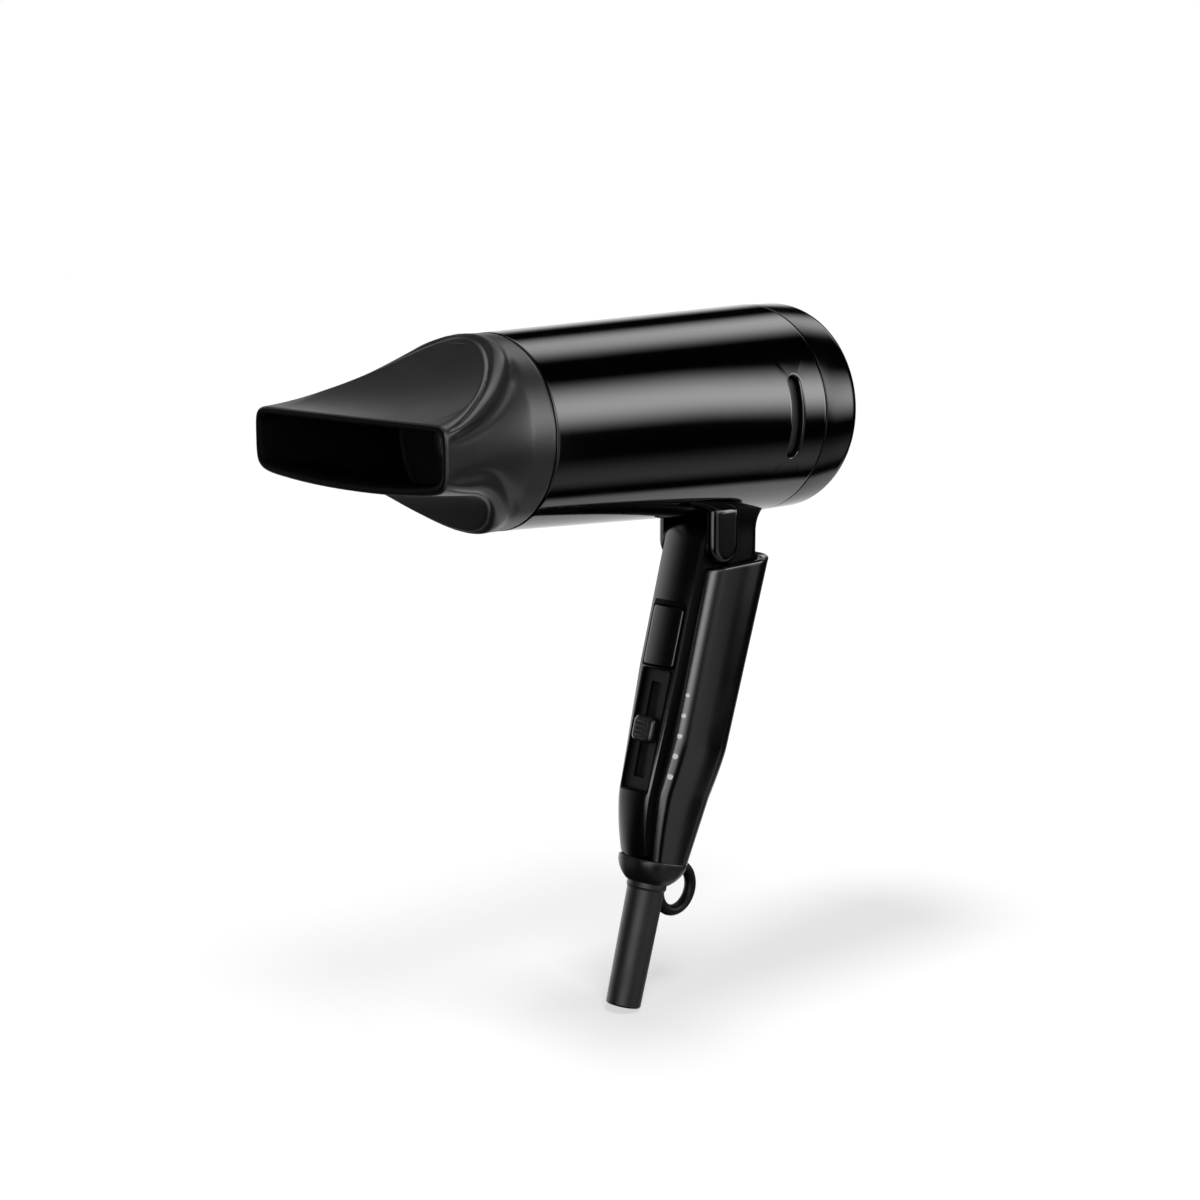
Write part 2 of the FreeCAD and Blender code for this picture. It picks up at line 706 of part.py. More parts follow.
def nozzle_solid(name, inset, end_x):
    """Round collar end flaring to the wide mouth, trimmed by the hollowed top and bottom panels."""
    ring = doc.addObject("Part::Circle", f"{name}_ring")
    mouth = doc.addObject("Part::Ellipse", f"{name}_mouth")
    for item in (ring, mouth):
        item.Placement = Placement(Vector(), FACING_X)
    bind(ring, Radius=s.collar_radius - inset, Placement__Base__x=s.collar_front_x)
    bind(mouth, MajorRadius=s.mouth_half_width - inset, MinorRadius=s.mouth_side_height - inset,
         Placement__Base__x=end_x)
    flare = doc.addObject("Part::Loft", f"{name}_flare")
    flare.Sections = [ring, mouth]
    flare.Solid = True
    top, bottom = s.mouth_top - inset, s.mouth_bottom + inset
    profile = doc.addObject("Sketcher::SketchObject", f"{name}_profile")
    profile.Placement = Placement(Vector(), SIDE_VIEW)
    back = s.collar_front_x + 1
    draw(profile, [
        (back, inset - s.collar_radius - 1), (back, s.collar_radius + 1 - inset),
        (s.collar_front_x, s.collar_radius + 0.3 - inset), ("arc", s.top_arc_radius, 1),
        (s.throat_x, top + 1.6), (end_x - 1, top), (end_x - 1, bottom), (s.keel_x, bottom - 1),
        ("arc", s.bottom_arc_radius, 1), (s.collar_front_x, inset - 0.3 - s.collar_radius)])
    panels = doc.addObject("Part::Extrusion", f"{name}_panels")
    panels.Base = profile
    panels.DirMode = "Custom"
    panels.Dir = Vector(0, 1, 0)
    panels.Symmetric = True
    panels.Solid = True
    bind(panels, LengthFwd=2 * s.mouth_half_width + 20)
    return common(f"{name}_form", flare, panels)


def nozzle():
    """Concentrator: a round collar, concave panels and a wide flat slot."""
    outside = fuse("nozzle_outside", nozzle_solid("outer", as_size(0), s.mouth_x),
                   rod("nozzle_collar", "X", s.collar_radius, s.collar_front_x, s.collar_rear_x))
    inside = nozzle_solid("inner", s.nozzle_wall, s.mouth_x - 1)
    seat = rod("nozzle_seat", "X", s.spigot_radius + 0.1, s.ring_front_x - 1, s.collar_rear_x + 1)
    item = cut("nozzle", outside, inside, seat)
    place_in_barrel(item)


# ---------------------------------------------------------------- hinge

def hinge():
    """Pin pressed into the ears, with a friction washer on each side of the knuckle."""
    x, z = s.pivot_along_barrel, -s.pivot_below_barrel
    pin = group("hinge_pin", rod("pin_rod", "Y", s.pin_radius, -s.pin_half_length, s.pin_half_length, x, z))
    washers = []
    for name, side in (("near", -1), ("far", 1)):
        low = s.panel_half_width + 0.05 if side > 0 else -(s.ear_inner - 0.05)
        high = s.ear_inner - 0.05 if side > 0 else -(s.panel_half_width + 0.05)
        washers.append(cut(f"washer_{name}", rod(f"washer_{name}_disc", "Y", 5.4, low, high, x, z),
                           rod(f"washer_{name}_hole", "Y", s.pin_radius + 0.05, low - 1, high + 1, x, z)))
    for item in (pin, group("hinge_washers", *washers)):
        place_in_barrel(item)


# ---------------------------------------------------------------- handle

def handle_section(scale, front_scale, inset, flare=0):
    """The shell's cross-section at one level of its taper, moved in by the inset."""
    front = s.shell_front * front_scale + inset
    rear = s.shell_rear * scale + flare - inset
    half = s.shell_half_width * scale - inset
    corner = s.shell_front_corner * scale - inset / 2
    return rounded_section(front, rear, half, corner, s.shell_rear_corner * scale - inset)


def lofted(body, kind, outlines, ruled):
    """A loft through outlines at their levels (level, outline), added to the body or cut from it."""
    sections = [sketch_on(body, "XY_Plane", outline, offset=level) for level, outline in outlines]
    loft = body.newObject(f"PartDesign::{kind}Loft", f"{body.Name}_{kind.lower()}_loft")
    loft.Profile = sections[0]
    loft.Sections = sections[1:]
    loft.Ruled = ruled
    body.Tip = loft


def handle_form(body, inset, cutting):
    """Upper grip, wider to the rear at its top, and the taper under it; added or cut."""
    one = as_size(1)
    kind = "Subtractive" if cutting else "Additive"
    straight = handle_section(one, one, inset)
    lofted(body, kind, [(as_size(8), handle_section(one, one, inset, s.shell_rear_flare)),
                        (s.taper_start, straight)], ruled=True)
    bottom = handle_section(s.bottom_scale, s.front_bottom_scale, inset)
    levels = [(s.taper_start, straight), (s.taper_middle, handle_section(s.middle_scale, one, inset)),
              (s.shell_bottom, bottom)]
    if cutting:
        levels.append((s.shell_bottom - 1, bottom))
    lofted(body, kind, levels, ruled=cutting)


def rim_height(u):
    """Height in the handle frame of the nearly level rim at distance u from the grip's axis."""
    behind_pivot = u + s.pivot_ahead_of_grip
    return (behind_pivot * (sine + s.rim_slope) - s.rim_below_pivot) / cosine


def handle_shell():
    """Rear shell of the handle: a tapered channel whose level rim makes a cup round the neck."""
    body = new_body("handle_shell")
    handle_form(body, as_size(0), cutting=False)
    handle_form(body, s.shell_wall, cutting=True)
    above = [(-20, rim_height(as_size(-20))), (24, rim_height(as_size(24))), (24, 20), (-20, 20)]
    across(body, "Pocket", sketch_on(body, "XZ_Plane", above), 40)
    wide, narrow = s.panel_half_width + 0.15, s.panel_bottom_half_width + 0.15
    strip = [(-wide, 10), (-wide, s.panel_narrows_below), (-narrow, s.shell_bottom),
             (-narrow, s.shell_bottom - 1), (narrow, s.shell_bottom - 1), (narrow, s.shell_bottom),
             (wide, s.panel_narrows_below), (wide, 10)]
    from_front(body, s.front_face - 1, 12.8, strip)
    ear_room = sketch_on(body, "XZ_Plane", circles=[(-s.pivot_ahead_of_grip, 0, s.ear_radius + 0.6)])
    across(body, "Pocket", ear_room, 2 * s.ear_outer + 0.6)
    boss = sketch_on(body, "YZ_Plane", offset=4.5, circles=[(0, s.screw_height, 3.0)])
    bind(feature(body, "Pad", boss), Length=6.4)
    sunk = sketch_on(body, "YZ_Plane", offset=20, circles=[(0, s.screw_height, 2.4)])
    bind(feature(body, "Pocket", sunk), Length=11)
    hole = sketch_on(body, "YZ_Plane", offset=20, circles=[(0, s.screw_height, 1.4)])
    bind(feature(body, "Pocket", hole), Length=20)
    place_in_handle(body)


def panel_profile():
    """Side view of the front panel below the knuckle."""
    bottom = s.shell_bottom
    return [
        (s.front_face, 0), (s.front_face, s.front_taper_start),
        (s.front_face * s.front_middle_scale, s.front_taper_middle),
        (s.front_face * s.front_bottom_scale, bottom),
        (s.shell_front * s.front_bottom_scale + 2.2, bottom),
        (s.shell_front * s.front_middle_scale + 2.4, s.front_taper_middle),
        (s.shell_front + 3.7, s.front_taper_start), (s.shell_front + 3.7, -14),
        (-s.pivot_ahead_of_grip + 5, -4.5), (-s.pivot_ahead_of_grip + 5, 0)]


def front_panel():
    """Raised front strip that carries the controls and ends above in the hinge knuckle."""
    body = new_body("front_panel")
    across(body, "Pad", sketch_on(body, "XZ_Plane", panel_profile()), 2 * s.panel_half_width)
    knuckle = [(-s.pivot_ahead_of_grip, 0, s.knuckle_radius)]
    across(body, "Pad", sketch_on(body, "XZ_Plane", circles=knuckle), 2 * s.panel_half_width)
    wide, narrow, low = s.panel_half_width, s.panel_bottom_half_width, s.shell_bottom - 1
    from_front(body, s.front_face - 1, 20,
               [(wide, s.panel_narrows_below), (narrow, s.shell_bottom), (narrow, low),
                (wide + 2, low), (wide + 2, s.panel_narrows_below)],
               [(-wide, s.panel_narrows_below), (-wide - 2, s.panel_narrows_below), (-wide - 2, low),
                (-narrow, low), (-narrow, s.shell_bottom)])
    inner = s.front_face + s.panel_wall
    channel = [(inner, -17), (0, -17), (0, -84), (inner + 0.4, -84), (inner, s.front_taper_start)]
    across(body, "Pocket", sketch_on(body, "XZ_Plane", channel), 2 * s.channel_half_width)
    button_low = s.button_top - s.button_length
    plate_low = s.plate_top - s.plate_length
    button_room = rectangle(inner, inner + 3, button_low - 0.6, s.button_top + 4)
    across(body, "Pocket", sketch_on(body, "XZ_Plane", button_room), 2 * s.button_room_half_width)
    half, button_half = s.opening_half_width, s.button_half_width + 0.2
    from_front(body, s.front_face - 1, s.panel_wall + 1.5,
               rectangle(-button_half, button_half, button_low, s.button_top),
               rectangle(-half, half, plate_low, s.plate_top))
    across(body, "Pocket", sketch_on(body, "XZ_Plane", circles=[
        (-s.pivot_ahead_of_grip, 0, s.pin_radius + s.running_clearance)]), 30)
    post = sketch_on(body, "YZ_Plane", offset=-8, circles=[(0, s.screw_height, 2.6)])
    bind(feature(body, "Pad", post), Length=12.2)
    thread = sketch_on(body, "YZ_Plane", offset=6, circles=[(0, s.screw_height, 1.3)])
    bind(feature(body, "Pocket", thread), Length=13)
    place_in_handle(body)


def controls():
    """Slide switch with its plate and knob, cool-shot button, and the board that holds both."""
    inner = s.front_face + s.panel_wall
    back = s.board_front
    plate_low = s.plate_top - s.plate_length
    plate = cut("switch_plate",
                block("plate_sheet", (inner + 0.05, inner + 1.2), middle(s.channel_half_width - 0.1),
                      (plate_low - 0.8, s.plate_top + 0.5)),
                block("plate_slot", (inner - 1, inner + 2), middle(2.2),
                      (s.knob_centre - s.knob_travel - 2.2, s.knob_centre + s.knob_travel + 2.2)))
    half = s.knob_length / 2
    thumb = block("knob_thumb", (s.front_face - 1.5, inner - 0.15), middle(4.2),
                  (s.knob_centre - half, s.knob_centre + half))
    grips = [rod(f"knob_groove_{i + 1}", "Y", 0.55, -6, 6, s.front_face - 1.6, s.knob_centre + offset)
             for i, offset in enumerate((-2.6, -0.9, 0.9, 2.6))]
    stem = block("knob_stem", (inner - 0.2, inner + 3.3), middle(1.9),
                 (s.knob_centre - 1.9, s.knob_centre + 1.9))
    knob = cut("slide_knob", fuse("knob_blank", thumb, stem), *grips)
    reach = s.knob_travel + 2.3
    switch = cut("slide_switch",
                 block("switch_case", (inner + 1.4, back), middle(4.9),
                       (plate_low + 0.8, s.plate_top - 0.8)),
                 block("switch_slot", (inner + 1, inner + 3.9), middle(2.3),
                       (s.knob_centre - reach, s.knob_centre + reach)))
    low, high = s.button_top - s.button_length, s.button_top
    button = fuse("cool_shot_button",
                  block("button_cap", (s.front_face - s.button_proud, inner + 0.9),
                        middle(s.button_half_width), (low + 0.2, high - 0.2)),
                  block("button_flange", (inner + 0.1, inner + 0.9),
                        middle(s.button_room_half_width - 0.15), (low + 0.2, high + 0.8)),
                  block("button_stem", (inner + 0.8, inner + 4.2), middle(1.4),
                        ((low + high) / 2 - 1.4, (low + high) / 2 + 1.4)))
    plunger_tip = inner + 4.2 + s.button_travel + 0.1
    micro = fuse("cool_shot_switch",
                 block("micro_case", (plunger_tip + 0.9, back), middle(3.1), (low + 2.5, high - 2.5)),
                 rod("micro_plunger", "X", 0.9, plunger_tip, plunger_tip + 1, 0, (low + high) / 2))
    board = group("control_board", block("board_sheet", (back, back + s.board_thickness), middle(8.6),
                                         (plate_low - 1, high - 2)))
    screw = fuse("panel_screw", rod("screw_shank", "X", 1.25, -4, 9.1, 0, s.screw_height),
                 rod("screw_head", "X", 2.2, 9.05, 10.8, 0, s.screw_height))
    for item in (plate, knob, switch, button, micro, board, screw):
        place_in_handle(item)


def end_cap():
    """Tapered collar that closes the handle's lower end round the cord guard."""
    body = new_body("end_cap")
    front, rear = s.front_face * s.front_bottom_scale, s.shell_rear * s.bottom_scale
    half = s.shell_half_width * s.bottom_scale
    top = rounded_section(front, rear, half, as_size(5.0), as_size(6.4))
    waist = rounded_section(front + 0.9, rear - 0.9, half - 0.7, as_size(5.0), as_size(6.2))
    low = rounded_section(as_size(-6.9), as_size(6.9), as_size(6.8), as_size(6.3), as_size(6.3))
    lofted(body, "Additive", [(s.shell_bottom - 0.1, top), (s.shell_bottom - 3.6, waist),
                              (s.end_cap_bottom, low)], ruled=False)
    spigot = sketch_on(body, "XY_Plane", rounded_section(
        as_size(-4.2), as_size(8.2), as_size(6.6), as_size(2.0), as_size(4.5)), offset=s.shell_bottom - 1)
    upward(body, "Pad", spigot, 4)
    seat = s.guard_top_radius + 0.05
    turned(body, "Groove", sketch_on(body, "XZ_Plane", [
        (0, s.shell_bottom + 4), (3.6, s.shell_bottom + 4), (3.6, s.shell_bottom - 0.1),
        (seat + 1, s.shell_bottom - 0.1), (seat + 1, s.shell_bottom - 3), (seat, s.shell_bottom - 3),
        (seat, s.end_cap_bottom - 1), (0, s.end_cap_bottom - 1)]), axis="V_Axis")
    place_in_handle(body)


def cord_guard():
    """Flexible sleeve that the cord leaves through, with a flange held in the end cap."""
    body = new_body("cord_guard")
    flange_top, flange_low = s.shell_bottom - 0.2, s.shell_bottom - 2.9
    turned(body, "Revolution", sketch_on(body, "XZ_Plane", [
        (s.guard_bore_radius, flange_top), (s.guard_top_radius + 0.9, flange_top),
        (s.guard_top_radius + 0.9, flange_low), (s.guard_top_radius, flange_low),
        (s.guard_top_radius, s.end_cap_bottom - 3), (s.guard_end_radius, s.guard_end + 0.8),
        (s.guard_end_radius - 0.8, s.guard_end), (s.guard_bore_radius, s.guard_end)]), axis="V_Axis")
    place_in_handle(body)


def hanging_loop():
    """Loop at the rear of the end cap, let into the cap and the cord guard's root."""
    ring = doc.addObject("Part::Torus", "loop_ring")
    ring.Placement = Placement(Vector(), ALONG_Y)
    bind(ring, Radius1=s.loop_radius, Radius2=s.loop_thickness, Placement__Base__x=s.loop_out,
         Placement__Base__z=s.loop_down)
    guard = rod("loop_guard_cut", "Z", s.guard_top_radius + 0.02, s.guard_end, s.shell_bottom)
    cap = block("loop_cap_cut", (-12, 12), middle(10), (s.shell_bottom - 3.7, s.shell_bottom + 8))
    cone = doc.addObject("Part::Cone", "loop_cone_cut")
    bind(cone, Radius1=7.1, Radius2=10.2, Height=3.6, Placement__Base__z=s.end_cap_bottom)
    item = cut("hanging_loop", ring, guard, cap, cone)
    place_in_handle(item)


def cord_clamp():
    """Bar that grips the cord above the end cap."""
    bar = block("clamp_bar", (-5.2, 5.6), middle(6.8), (s.screw_height + 4.5, s.screw_height + 9.5))
    item = cut("cord_clamp", bar, rod("clamp_hole", "Z", 3.2, -100, -60))
    place_in_handle(item)


for build in (barrel_housing, rear_cap, filter_screen, fan_duct, motor, impeller, rectifier, heater,
              outlet_ring, outlet_grille, nozzle, hinge, handle_shell, front_panel, controls, end_cap,
              cord_guard, hanging_loop, cord_clamp):
    build()
    doc.recompute()

faults = [f"{item.Name}: {item.State}" for item in doc.Objects
          if {"Invalid", "Error"} & set(item.State)]
faults += [f"{item.Label}: no valid shape" for item in nodes
           if item.Shape.isNull() or not item.Shape.isValid()]
if faults:
    raise SystemExit("\n".join(faults))

os.makedirs("parts", exist_ok=True)
for item in nodes:
    item.Shape.exportStep(f"parts/{item.Label}.step")
    box = item.Shape.BoundBox
    print(f"{item.Label:22s} {item.Shape.Volume:10.1f} mm3 {len(item.Shape.Solids)} solid(s) "
          f"x {box.XMin:.1f}..{box.XMax:.1f} y {box.YMin:.1f}..{box.YMax:.1f} "
          f"z {box.ZMin:.1f}..{box.ZMax:.1f}")
print(f"barrel origin {BARREL_X.value:.3f}, {BARREL_Z.value:.3f}; "
      f"pivot {PIVOT_X.value:.3f}, {PIVOT_Z.value:.3f}")
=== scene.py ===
import functools
import json
import math

import bmesh
import bpy
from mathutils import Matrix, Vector, geometry


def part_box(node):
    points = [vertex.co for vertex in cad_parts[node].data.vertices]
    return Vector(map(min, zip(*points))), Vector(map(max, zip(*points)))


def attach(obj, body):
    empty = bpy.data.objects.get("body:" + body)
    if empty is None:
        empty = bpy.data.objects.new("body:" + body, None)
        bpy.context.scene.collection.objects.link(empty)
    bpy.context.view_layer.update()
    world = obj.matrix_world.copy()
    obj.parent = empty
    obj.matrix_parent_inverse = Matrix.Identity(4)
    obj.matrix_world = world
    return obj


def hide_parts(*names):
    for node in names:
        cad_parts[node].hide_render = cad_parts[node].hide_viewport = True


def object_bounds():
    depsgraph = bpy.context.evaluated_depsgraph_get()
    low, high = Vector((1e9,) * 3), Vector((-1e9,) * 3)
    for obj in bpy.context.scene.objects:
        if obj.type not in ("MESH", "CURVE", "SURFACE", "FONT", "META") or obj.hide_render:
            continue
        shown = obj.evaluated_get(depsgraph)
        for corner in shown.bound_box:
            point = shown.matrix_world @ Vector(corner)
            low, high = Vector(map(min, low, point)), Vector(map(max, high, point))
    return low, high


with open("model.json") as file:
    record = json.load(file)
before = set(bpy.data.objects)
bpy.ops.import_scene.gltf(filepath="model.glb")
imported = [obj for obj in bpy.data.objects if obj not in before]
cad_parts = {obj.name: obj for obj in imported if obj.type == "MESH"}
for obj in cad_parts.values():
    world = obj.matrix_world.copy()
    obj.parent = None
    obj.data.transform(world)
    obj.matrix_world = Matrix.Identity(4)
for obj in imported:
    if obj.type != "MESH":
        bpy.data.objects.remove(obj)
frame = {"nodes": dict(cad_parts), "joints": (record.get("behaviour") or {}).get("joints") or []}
cad_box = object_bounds()

MM = 0.001
joints = {joint["name"]: joint for joint in frame["joints"]}
AXIS_Z = joints["fan_spin"]["pos_m"][2]
PIVOT = Vector(joints["fold_hinge"]["pos_m"])
LEAN_SIN, _, LEAN_COS = joints["switch_slide"]["axis"]
PIVOT_AHEAD = 7.0
GRIP_TOP = PIVOT + Vector((LEAN_COS, 0, -LEAN_SIN)) * PIVOT_AHEAD * MM


def in_barrel(x, y, z):
    """A point of the barrel, in millimetres from its axis, as a point of the row frame."""
    return Vector((x * MM, y * MM, AXIS_Z + z * MM))


def in_handle(u, y, c):
    """A point of the handle: u rearwards, c up along the grip from the hinge's height."""
    x = GRIP_TOP.x + (u * LEAN_COS + c * LEAN_SIN) * MM
    z = GRIP_TOP.z + (c * LEAN_COS - u * LEAN_SIN) * MM
    return Vector((x, y * MM, z))


# ---------------------------------------------------------------- node helpers

class Nodes:
    """Short calls that add shader nodes to one tree."""

    def __init__(self, tree):
        self.tree = tree
        tree.nodes.clear()

    def add(self, kind, inputs=None, **settings):
        node = self.tree.nodes.new(kind)
        for name, value in settings.items():
            setattr(node, name, value)
        for socket, value in (inputs or {}).items():
            self.put(node.inputs[socket], value)
        return node

    def put(self, socket, value):
        if isinstance(value, bpy.types.NodeSocket):
            self.tree.links.new(value, socket)
        else:
            socket.default_value = value

    def product(self, *values):
        return functools.reduce(lambda first, second: self.math("MULTIPLY", first, second), values)

    def math(self, operation, *values):
        node = self.add("ShaderNodeMath", operation=operation)
        for socket, value in zip(node.inputs, values):
            self.put(socket, value)
        return node.outputs[0]

    def ramp(self, value, low, high, to_low=0.0, to_high=1.0, smooth=True):
        node = self.add("ShaderNodeMapRange", {
            "Value": value, "From Min": low, "From Max": high, "To Min": to_low, "To Max": to_high},
            interpolation_type="SMOOTHSTEP" if smooth else "LINEAR")
        return node.outputs[0]

    def noise(self, position, scale, detail, roughness):
        node = self.add("ShaderNodeTexNoise", {
            "Vector": position, "Scale": scale, "Detail": detail, "Roughness": roughness})
        return node.outputs[0]

    def mix(self, factor, first, second):
        node = self.add("ShaderNodeMix", data_type="RGBA")
        self.put(node.inputs[0], factor)
        self.put(node.inputs[6], first)
        self.put(node.inputs[7], second)
        return node.outputs[2]


def grey(value, warm=0.0):
    return (value * (1 + warm), value, value * (1 - warm), 1)


def new_material(name):
    """A material, its empty node tree and the coordinates that its noise uses."""
    material = bpy.data.materials.new(name)
    material.use_nodes = True
    nodes = Nodes(material.node_tree)
    return material, nodes, nodes.add("ShaderNodeTexCoord").outputs["Object"]


def surface(nodes, inputs, height, strength, distance):
    """A Principled shader with these inputs, over a bump made from the height."""
    bump = nodes.add("ShaderNodeBump", {"Height": height, "Strength": strength, "Distance": distance})
    shader = nodes.add("ShaderNodeBsdfPrincipled", {**inputs, "Normal": bump.outputs[0]})
    nodes.add("ShaderNodeOutputMaterial", {"Surface": shader.outputs[0]})


def plastic(name, colour, roughness, grain=0.0, grain_size=0.25, ripple=0.0, wear=0.05, spread=0.05,
            specular=0.5):
    """Moulded plastic: grain in the surface, slow ripple, faint handling marks in the roughness."""
    material, nodes, place = new_material(name)
    smudges = nodes.noise(place, 55.0, 4.0, 0.6)
    specks = nodes.noise(place, 900.0, 2.0, 0.5)
    marks = nodes.math("ADD", nodes.ramp(smudges, 0.45, 0.75, 0.0, spread),
                       nodes.ramp(specks, 0.62, 0.75, 0.0, spread * 0.6))
    rough = nodes.math("ADD", roughness, marks)
    dust = nodes.product(nodes.ramp(specks, 0.66, 0.8), wear)
    tint = nodes.mix(dust, grey(colour), grey(min(colour * 3 + 0.01, 1.0), 0.03))
    shade = nodes.mix(nodes.ramp(smudges, 0.3, 0.7), tint, nodes.mix(0.25, tint, grey(colour * 0.5)))
    heights = nodes.math("ADD", nodes.product(nodes.noise(place, 1.0 / (grain_size * MM), 3.0, 0.6), grain),
                         nodes.product(nodes.noise(place, 120.0, 2.0, 0.5), ripple))
    surface(nodes, {"Base Color": shade, "Roughness": rough, "Specular IOR Level": specular},
            heights, 1.0, MM)
    return material


def metal(name, colour, roughness, brushed, scale=400.0):
    """Bare metal with fine brushing and a slight stain."""
    material, nodes, place = new_material(name)
    stretched = nodes.add("ShaderNodeMapping", {"Vector": place, "Scale": (0.15, 1.0, 1.0)}).outputs[0]
    lines = nodes.noise(stretched, scale * 6, 3.0, 0.7)
    stain = nodes.noise(place, scale * 0.4, 3.0, 0.5)
    rough = nodes.math("ADD", roughness, nodes.product(lines, 0.18))
    shade = nodes.mix(nodes.ramp(stain, 0.35, 0.75), (*colour, 1), (*(c * 0.62 for c in colour), 1))
    surface(nodes, {"Base Color": shade, "Metallic": 1.0, "Roughness": rough}, lines, brushed, 0.05 * MM)
    return material


def woven_screen(name):
    """Steel lint screen: crossing wires raised over dark openings."""
    pitch = 0.35 * MM
    material, nodes, place = new_material(name)
    split = nodes.add("ShaderNodeSeparateXYZ", {"Vector": place})
    waves = []
    for letter in ("Y", "Z"):
        phase = nodes.product(split.outputs[letter], math.pi / pitch)
        waves.append(nodes.math("ABSOLUTE", nodes.math("COSINE", phase)))
    wire = nodes.math("MAXIMUM", *waves)
    cover = nodes.ramp(wire, 0.55, 0.85)
    shade = nodes.mix(cover, grey(0.01), grey(0.42, 0.02))
    surface(nodes, {"Base Color": shade, "Metallic": cover, "Roughness": 0.4}, wire, 0.8, 0.15 * MM)
    return material


def layered(name, first, second, roughness, scale):
    """Two tones in fine uneven layers, for mica, boards and sintered parts."""
    material, nodes, place = new_material(name)
    flakes = nodes.noise(place, scale, 5.0, 0.65)
    shade = nodes.mix(nodes.ramp(flakes, 0.38, 0.62), (*first, 1), (*second, 1))
    rough = nodes.math("ADD", roughness, nodes.product(flakes, 0.15))
    surface(nodes, {"Base Color": shade, "Roughness": rough}, flakes, 0.4, 0.05 * MM)
    return material


barrel_black = plastic("barrel_black", 0.0006, 0.07, ripple=0.002, spread=0.03)
cap_black = plastic("cap_black", 0.0008, 0.1, ripple=0.003, spread=0.03, specular=0.25)
handle_black = plastic("handle_black", 0.0012, 0.17, grain=0.002, ripple=0.003, wear=0.08)
panel_black = plastic("panel_black", 0.0012, 0.22, grain=0.002, ripple=0.003, wear=0.08)
# Black plastic with little reflection: painted shade for the hinge neck and the ears' flat faces under the
# barrel.
hinge_painted_shade = plastic("hinge_painted_shade", 0.0008, 0.3, grain=0.002, ripple=0.003, specular=0.06)
nozzle_black = plastic("nozzle_black", 0.007, 0.36, grain=0.01, grain_size=0.22, wear=0.12)
# A darker, nearly unreflective copy of the nozzle plastic: painted shade for the inside of the mouth.
nozzle_inner_painted_shade = plastic("nozzle_inner_painted_shade", 0.001, 0.6, grain=0.01, grain_size=0.22, specular=0.03)
# The barrel's plastic with almost no reflection: painted shade on the vent slots' inner walls.
vent_inner_painted_shade = plastic("vent_inner_painted_shade", 0.0006, 0.6, grain=0.006, specular=0.04)
button_black = plastic("button_black", 0.0015, 0.2, grain=0.003, wear=0.08)
control_black = plastic("control_black", 0.003, 0.32, grain=0.008, grain_size=0.2, spread=0.06, wear=0.12)
recess_black = plastic("recess_black", 0.0015, 0.42, grain=0.008, grain_size=0.2, wear=0.08, specular=0.3)
collar_black = plastic("collar_black", 0.003, 0.34, grain=0.008, grain_size=0.2, spread=0.06, wear=0.12,
                       specular=0.3)
loop_black = plastic("loop_black", 0.002, 0.4, grain=0.01, wear=0.1, specular=0.12)
# A darker, nearly unreflective copy of the strip plastic: painted shade for the strip's sides and the
# windows' rims.
seam_painted_shade = plastic("seam_painted_shade", 0.0008, 0.5, grain=0.002, specular=0.04)
guard_black = plastic("guard_black", 0.005, 0.42, grain=0.012, grain_size=0.18, spread=0.08, wear=0.2,
                      specular=0.35)
ring_black = plastic("ring_black", 0.008, 0.5, grain=0.01, wear=0.2)
duct_grey = plastic("duct_grey", 0.01, 0.55, grain=0.01, wear=0.2)
fan_grey = plastic("fan_grey", 0.06, 0.42, grain=0.006, spread=0.06, wear=0.3)
print_white = plastic("print_white", 0.72, 0.42, grain=0.004, grain_size=0.12, wear=0.1)
lint_screen = woven_screen("lint_screen")
steel = metal("steel", (0.55, 0.56, 0.57), 0.26, brushed=0.4)
brass = metal("brass", (0.78, 0.56, 0.28), 0.3, brushed=0.3)
aluminium = metal("aluminium", (0.72, 0.73, 0.74), 0.32, brushed=0.4)
heater_wire = metal("heater_wire", (0.36, 0.33, 0.31), 0.42, brushed=0.6, scale=900.0)
mica = layered("mica", (0.62, 0.52, 0.38), (0.42, 0.34, 0.24), 0.32, 420.0)
ferrite = layered("ferrite", (0.05, 0.05, 0.052), (0.025, 0.025, 0.027), 0.5, 900.0)
board_green = layered("board_green", (0.02, 0.11, 0.05), (0.012, 0.07, 0.032), 0.35, 500.0)
component = layered("component", (0.02, 0.02, 0.021), (0.012, 0.012, 0.013), 0.35, 700.0)

CAD_LOOKS = {
    "barrel_housing": barrel_black, "rear_cap": cap_black, "filter_screen": lint_screen,
    "fan_duct": duct_grey, "motor_can": steel, "motor_end_cap": component, "rear_bush": brass,
    "front_bush": brass, "motor_armature": steel, "motor_magnets": ferrite, "impeller": fan_grey,
    "diode_board": board_green, "rectifier_diodes": component, "mica_board_upright": mica,
    "mica_board_flat": mica, "heating_wires": heater_wire, "mica_liner": mica,
    "thermostat": aluminium, "thermal_fuse": steel, "outlet_ring": ring_black,
    "outlet_grille": steel, "nozzle": nozzle_black, "hinge_pin": steel, "hinge_washers": steel,
    "handle_shell": handle_black, "front_panel": panel_black, "switch_plate": recess_black,
    "slide_knob": control_black, "slide_switch": component, "cool_shot_button": button_black,
    "cool_shot_switch": component, "control_board": board_green, "panel_screw": steel,
    "end_cap": collar_black, "cord_guard": guard_black, "hanging_loop": guard_black,
    "cord_clamp": component,
}
for name, node in frame["nodes"].items():
    look = CAD_LOOKS[name]
    if not node.material_slots:
        node.data.materials.append(look)
    for holder in node.material_slots:
        holder.link = "OBJECT"
        holder.material = look


# ---------------------------------------------------------------- mesh helpers

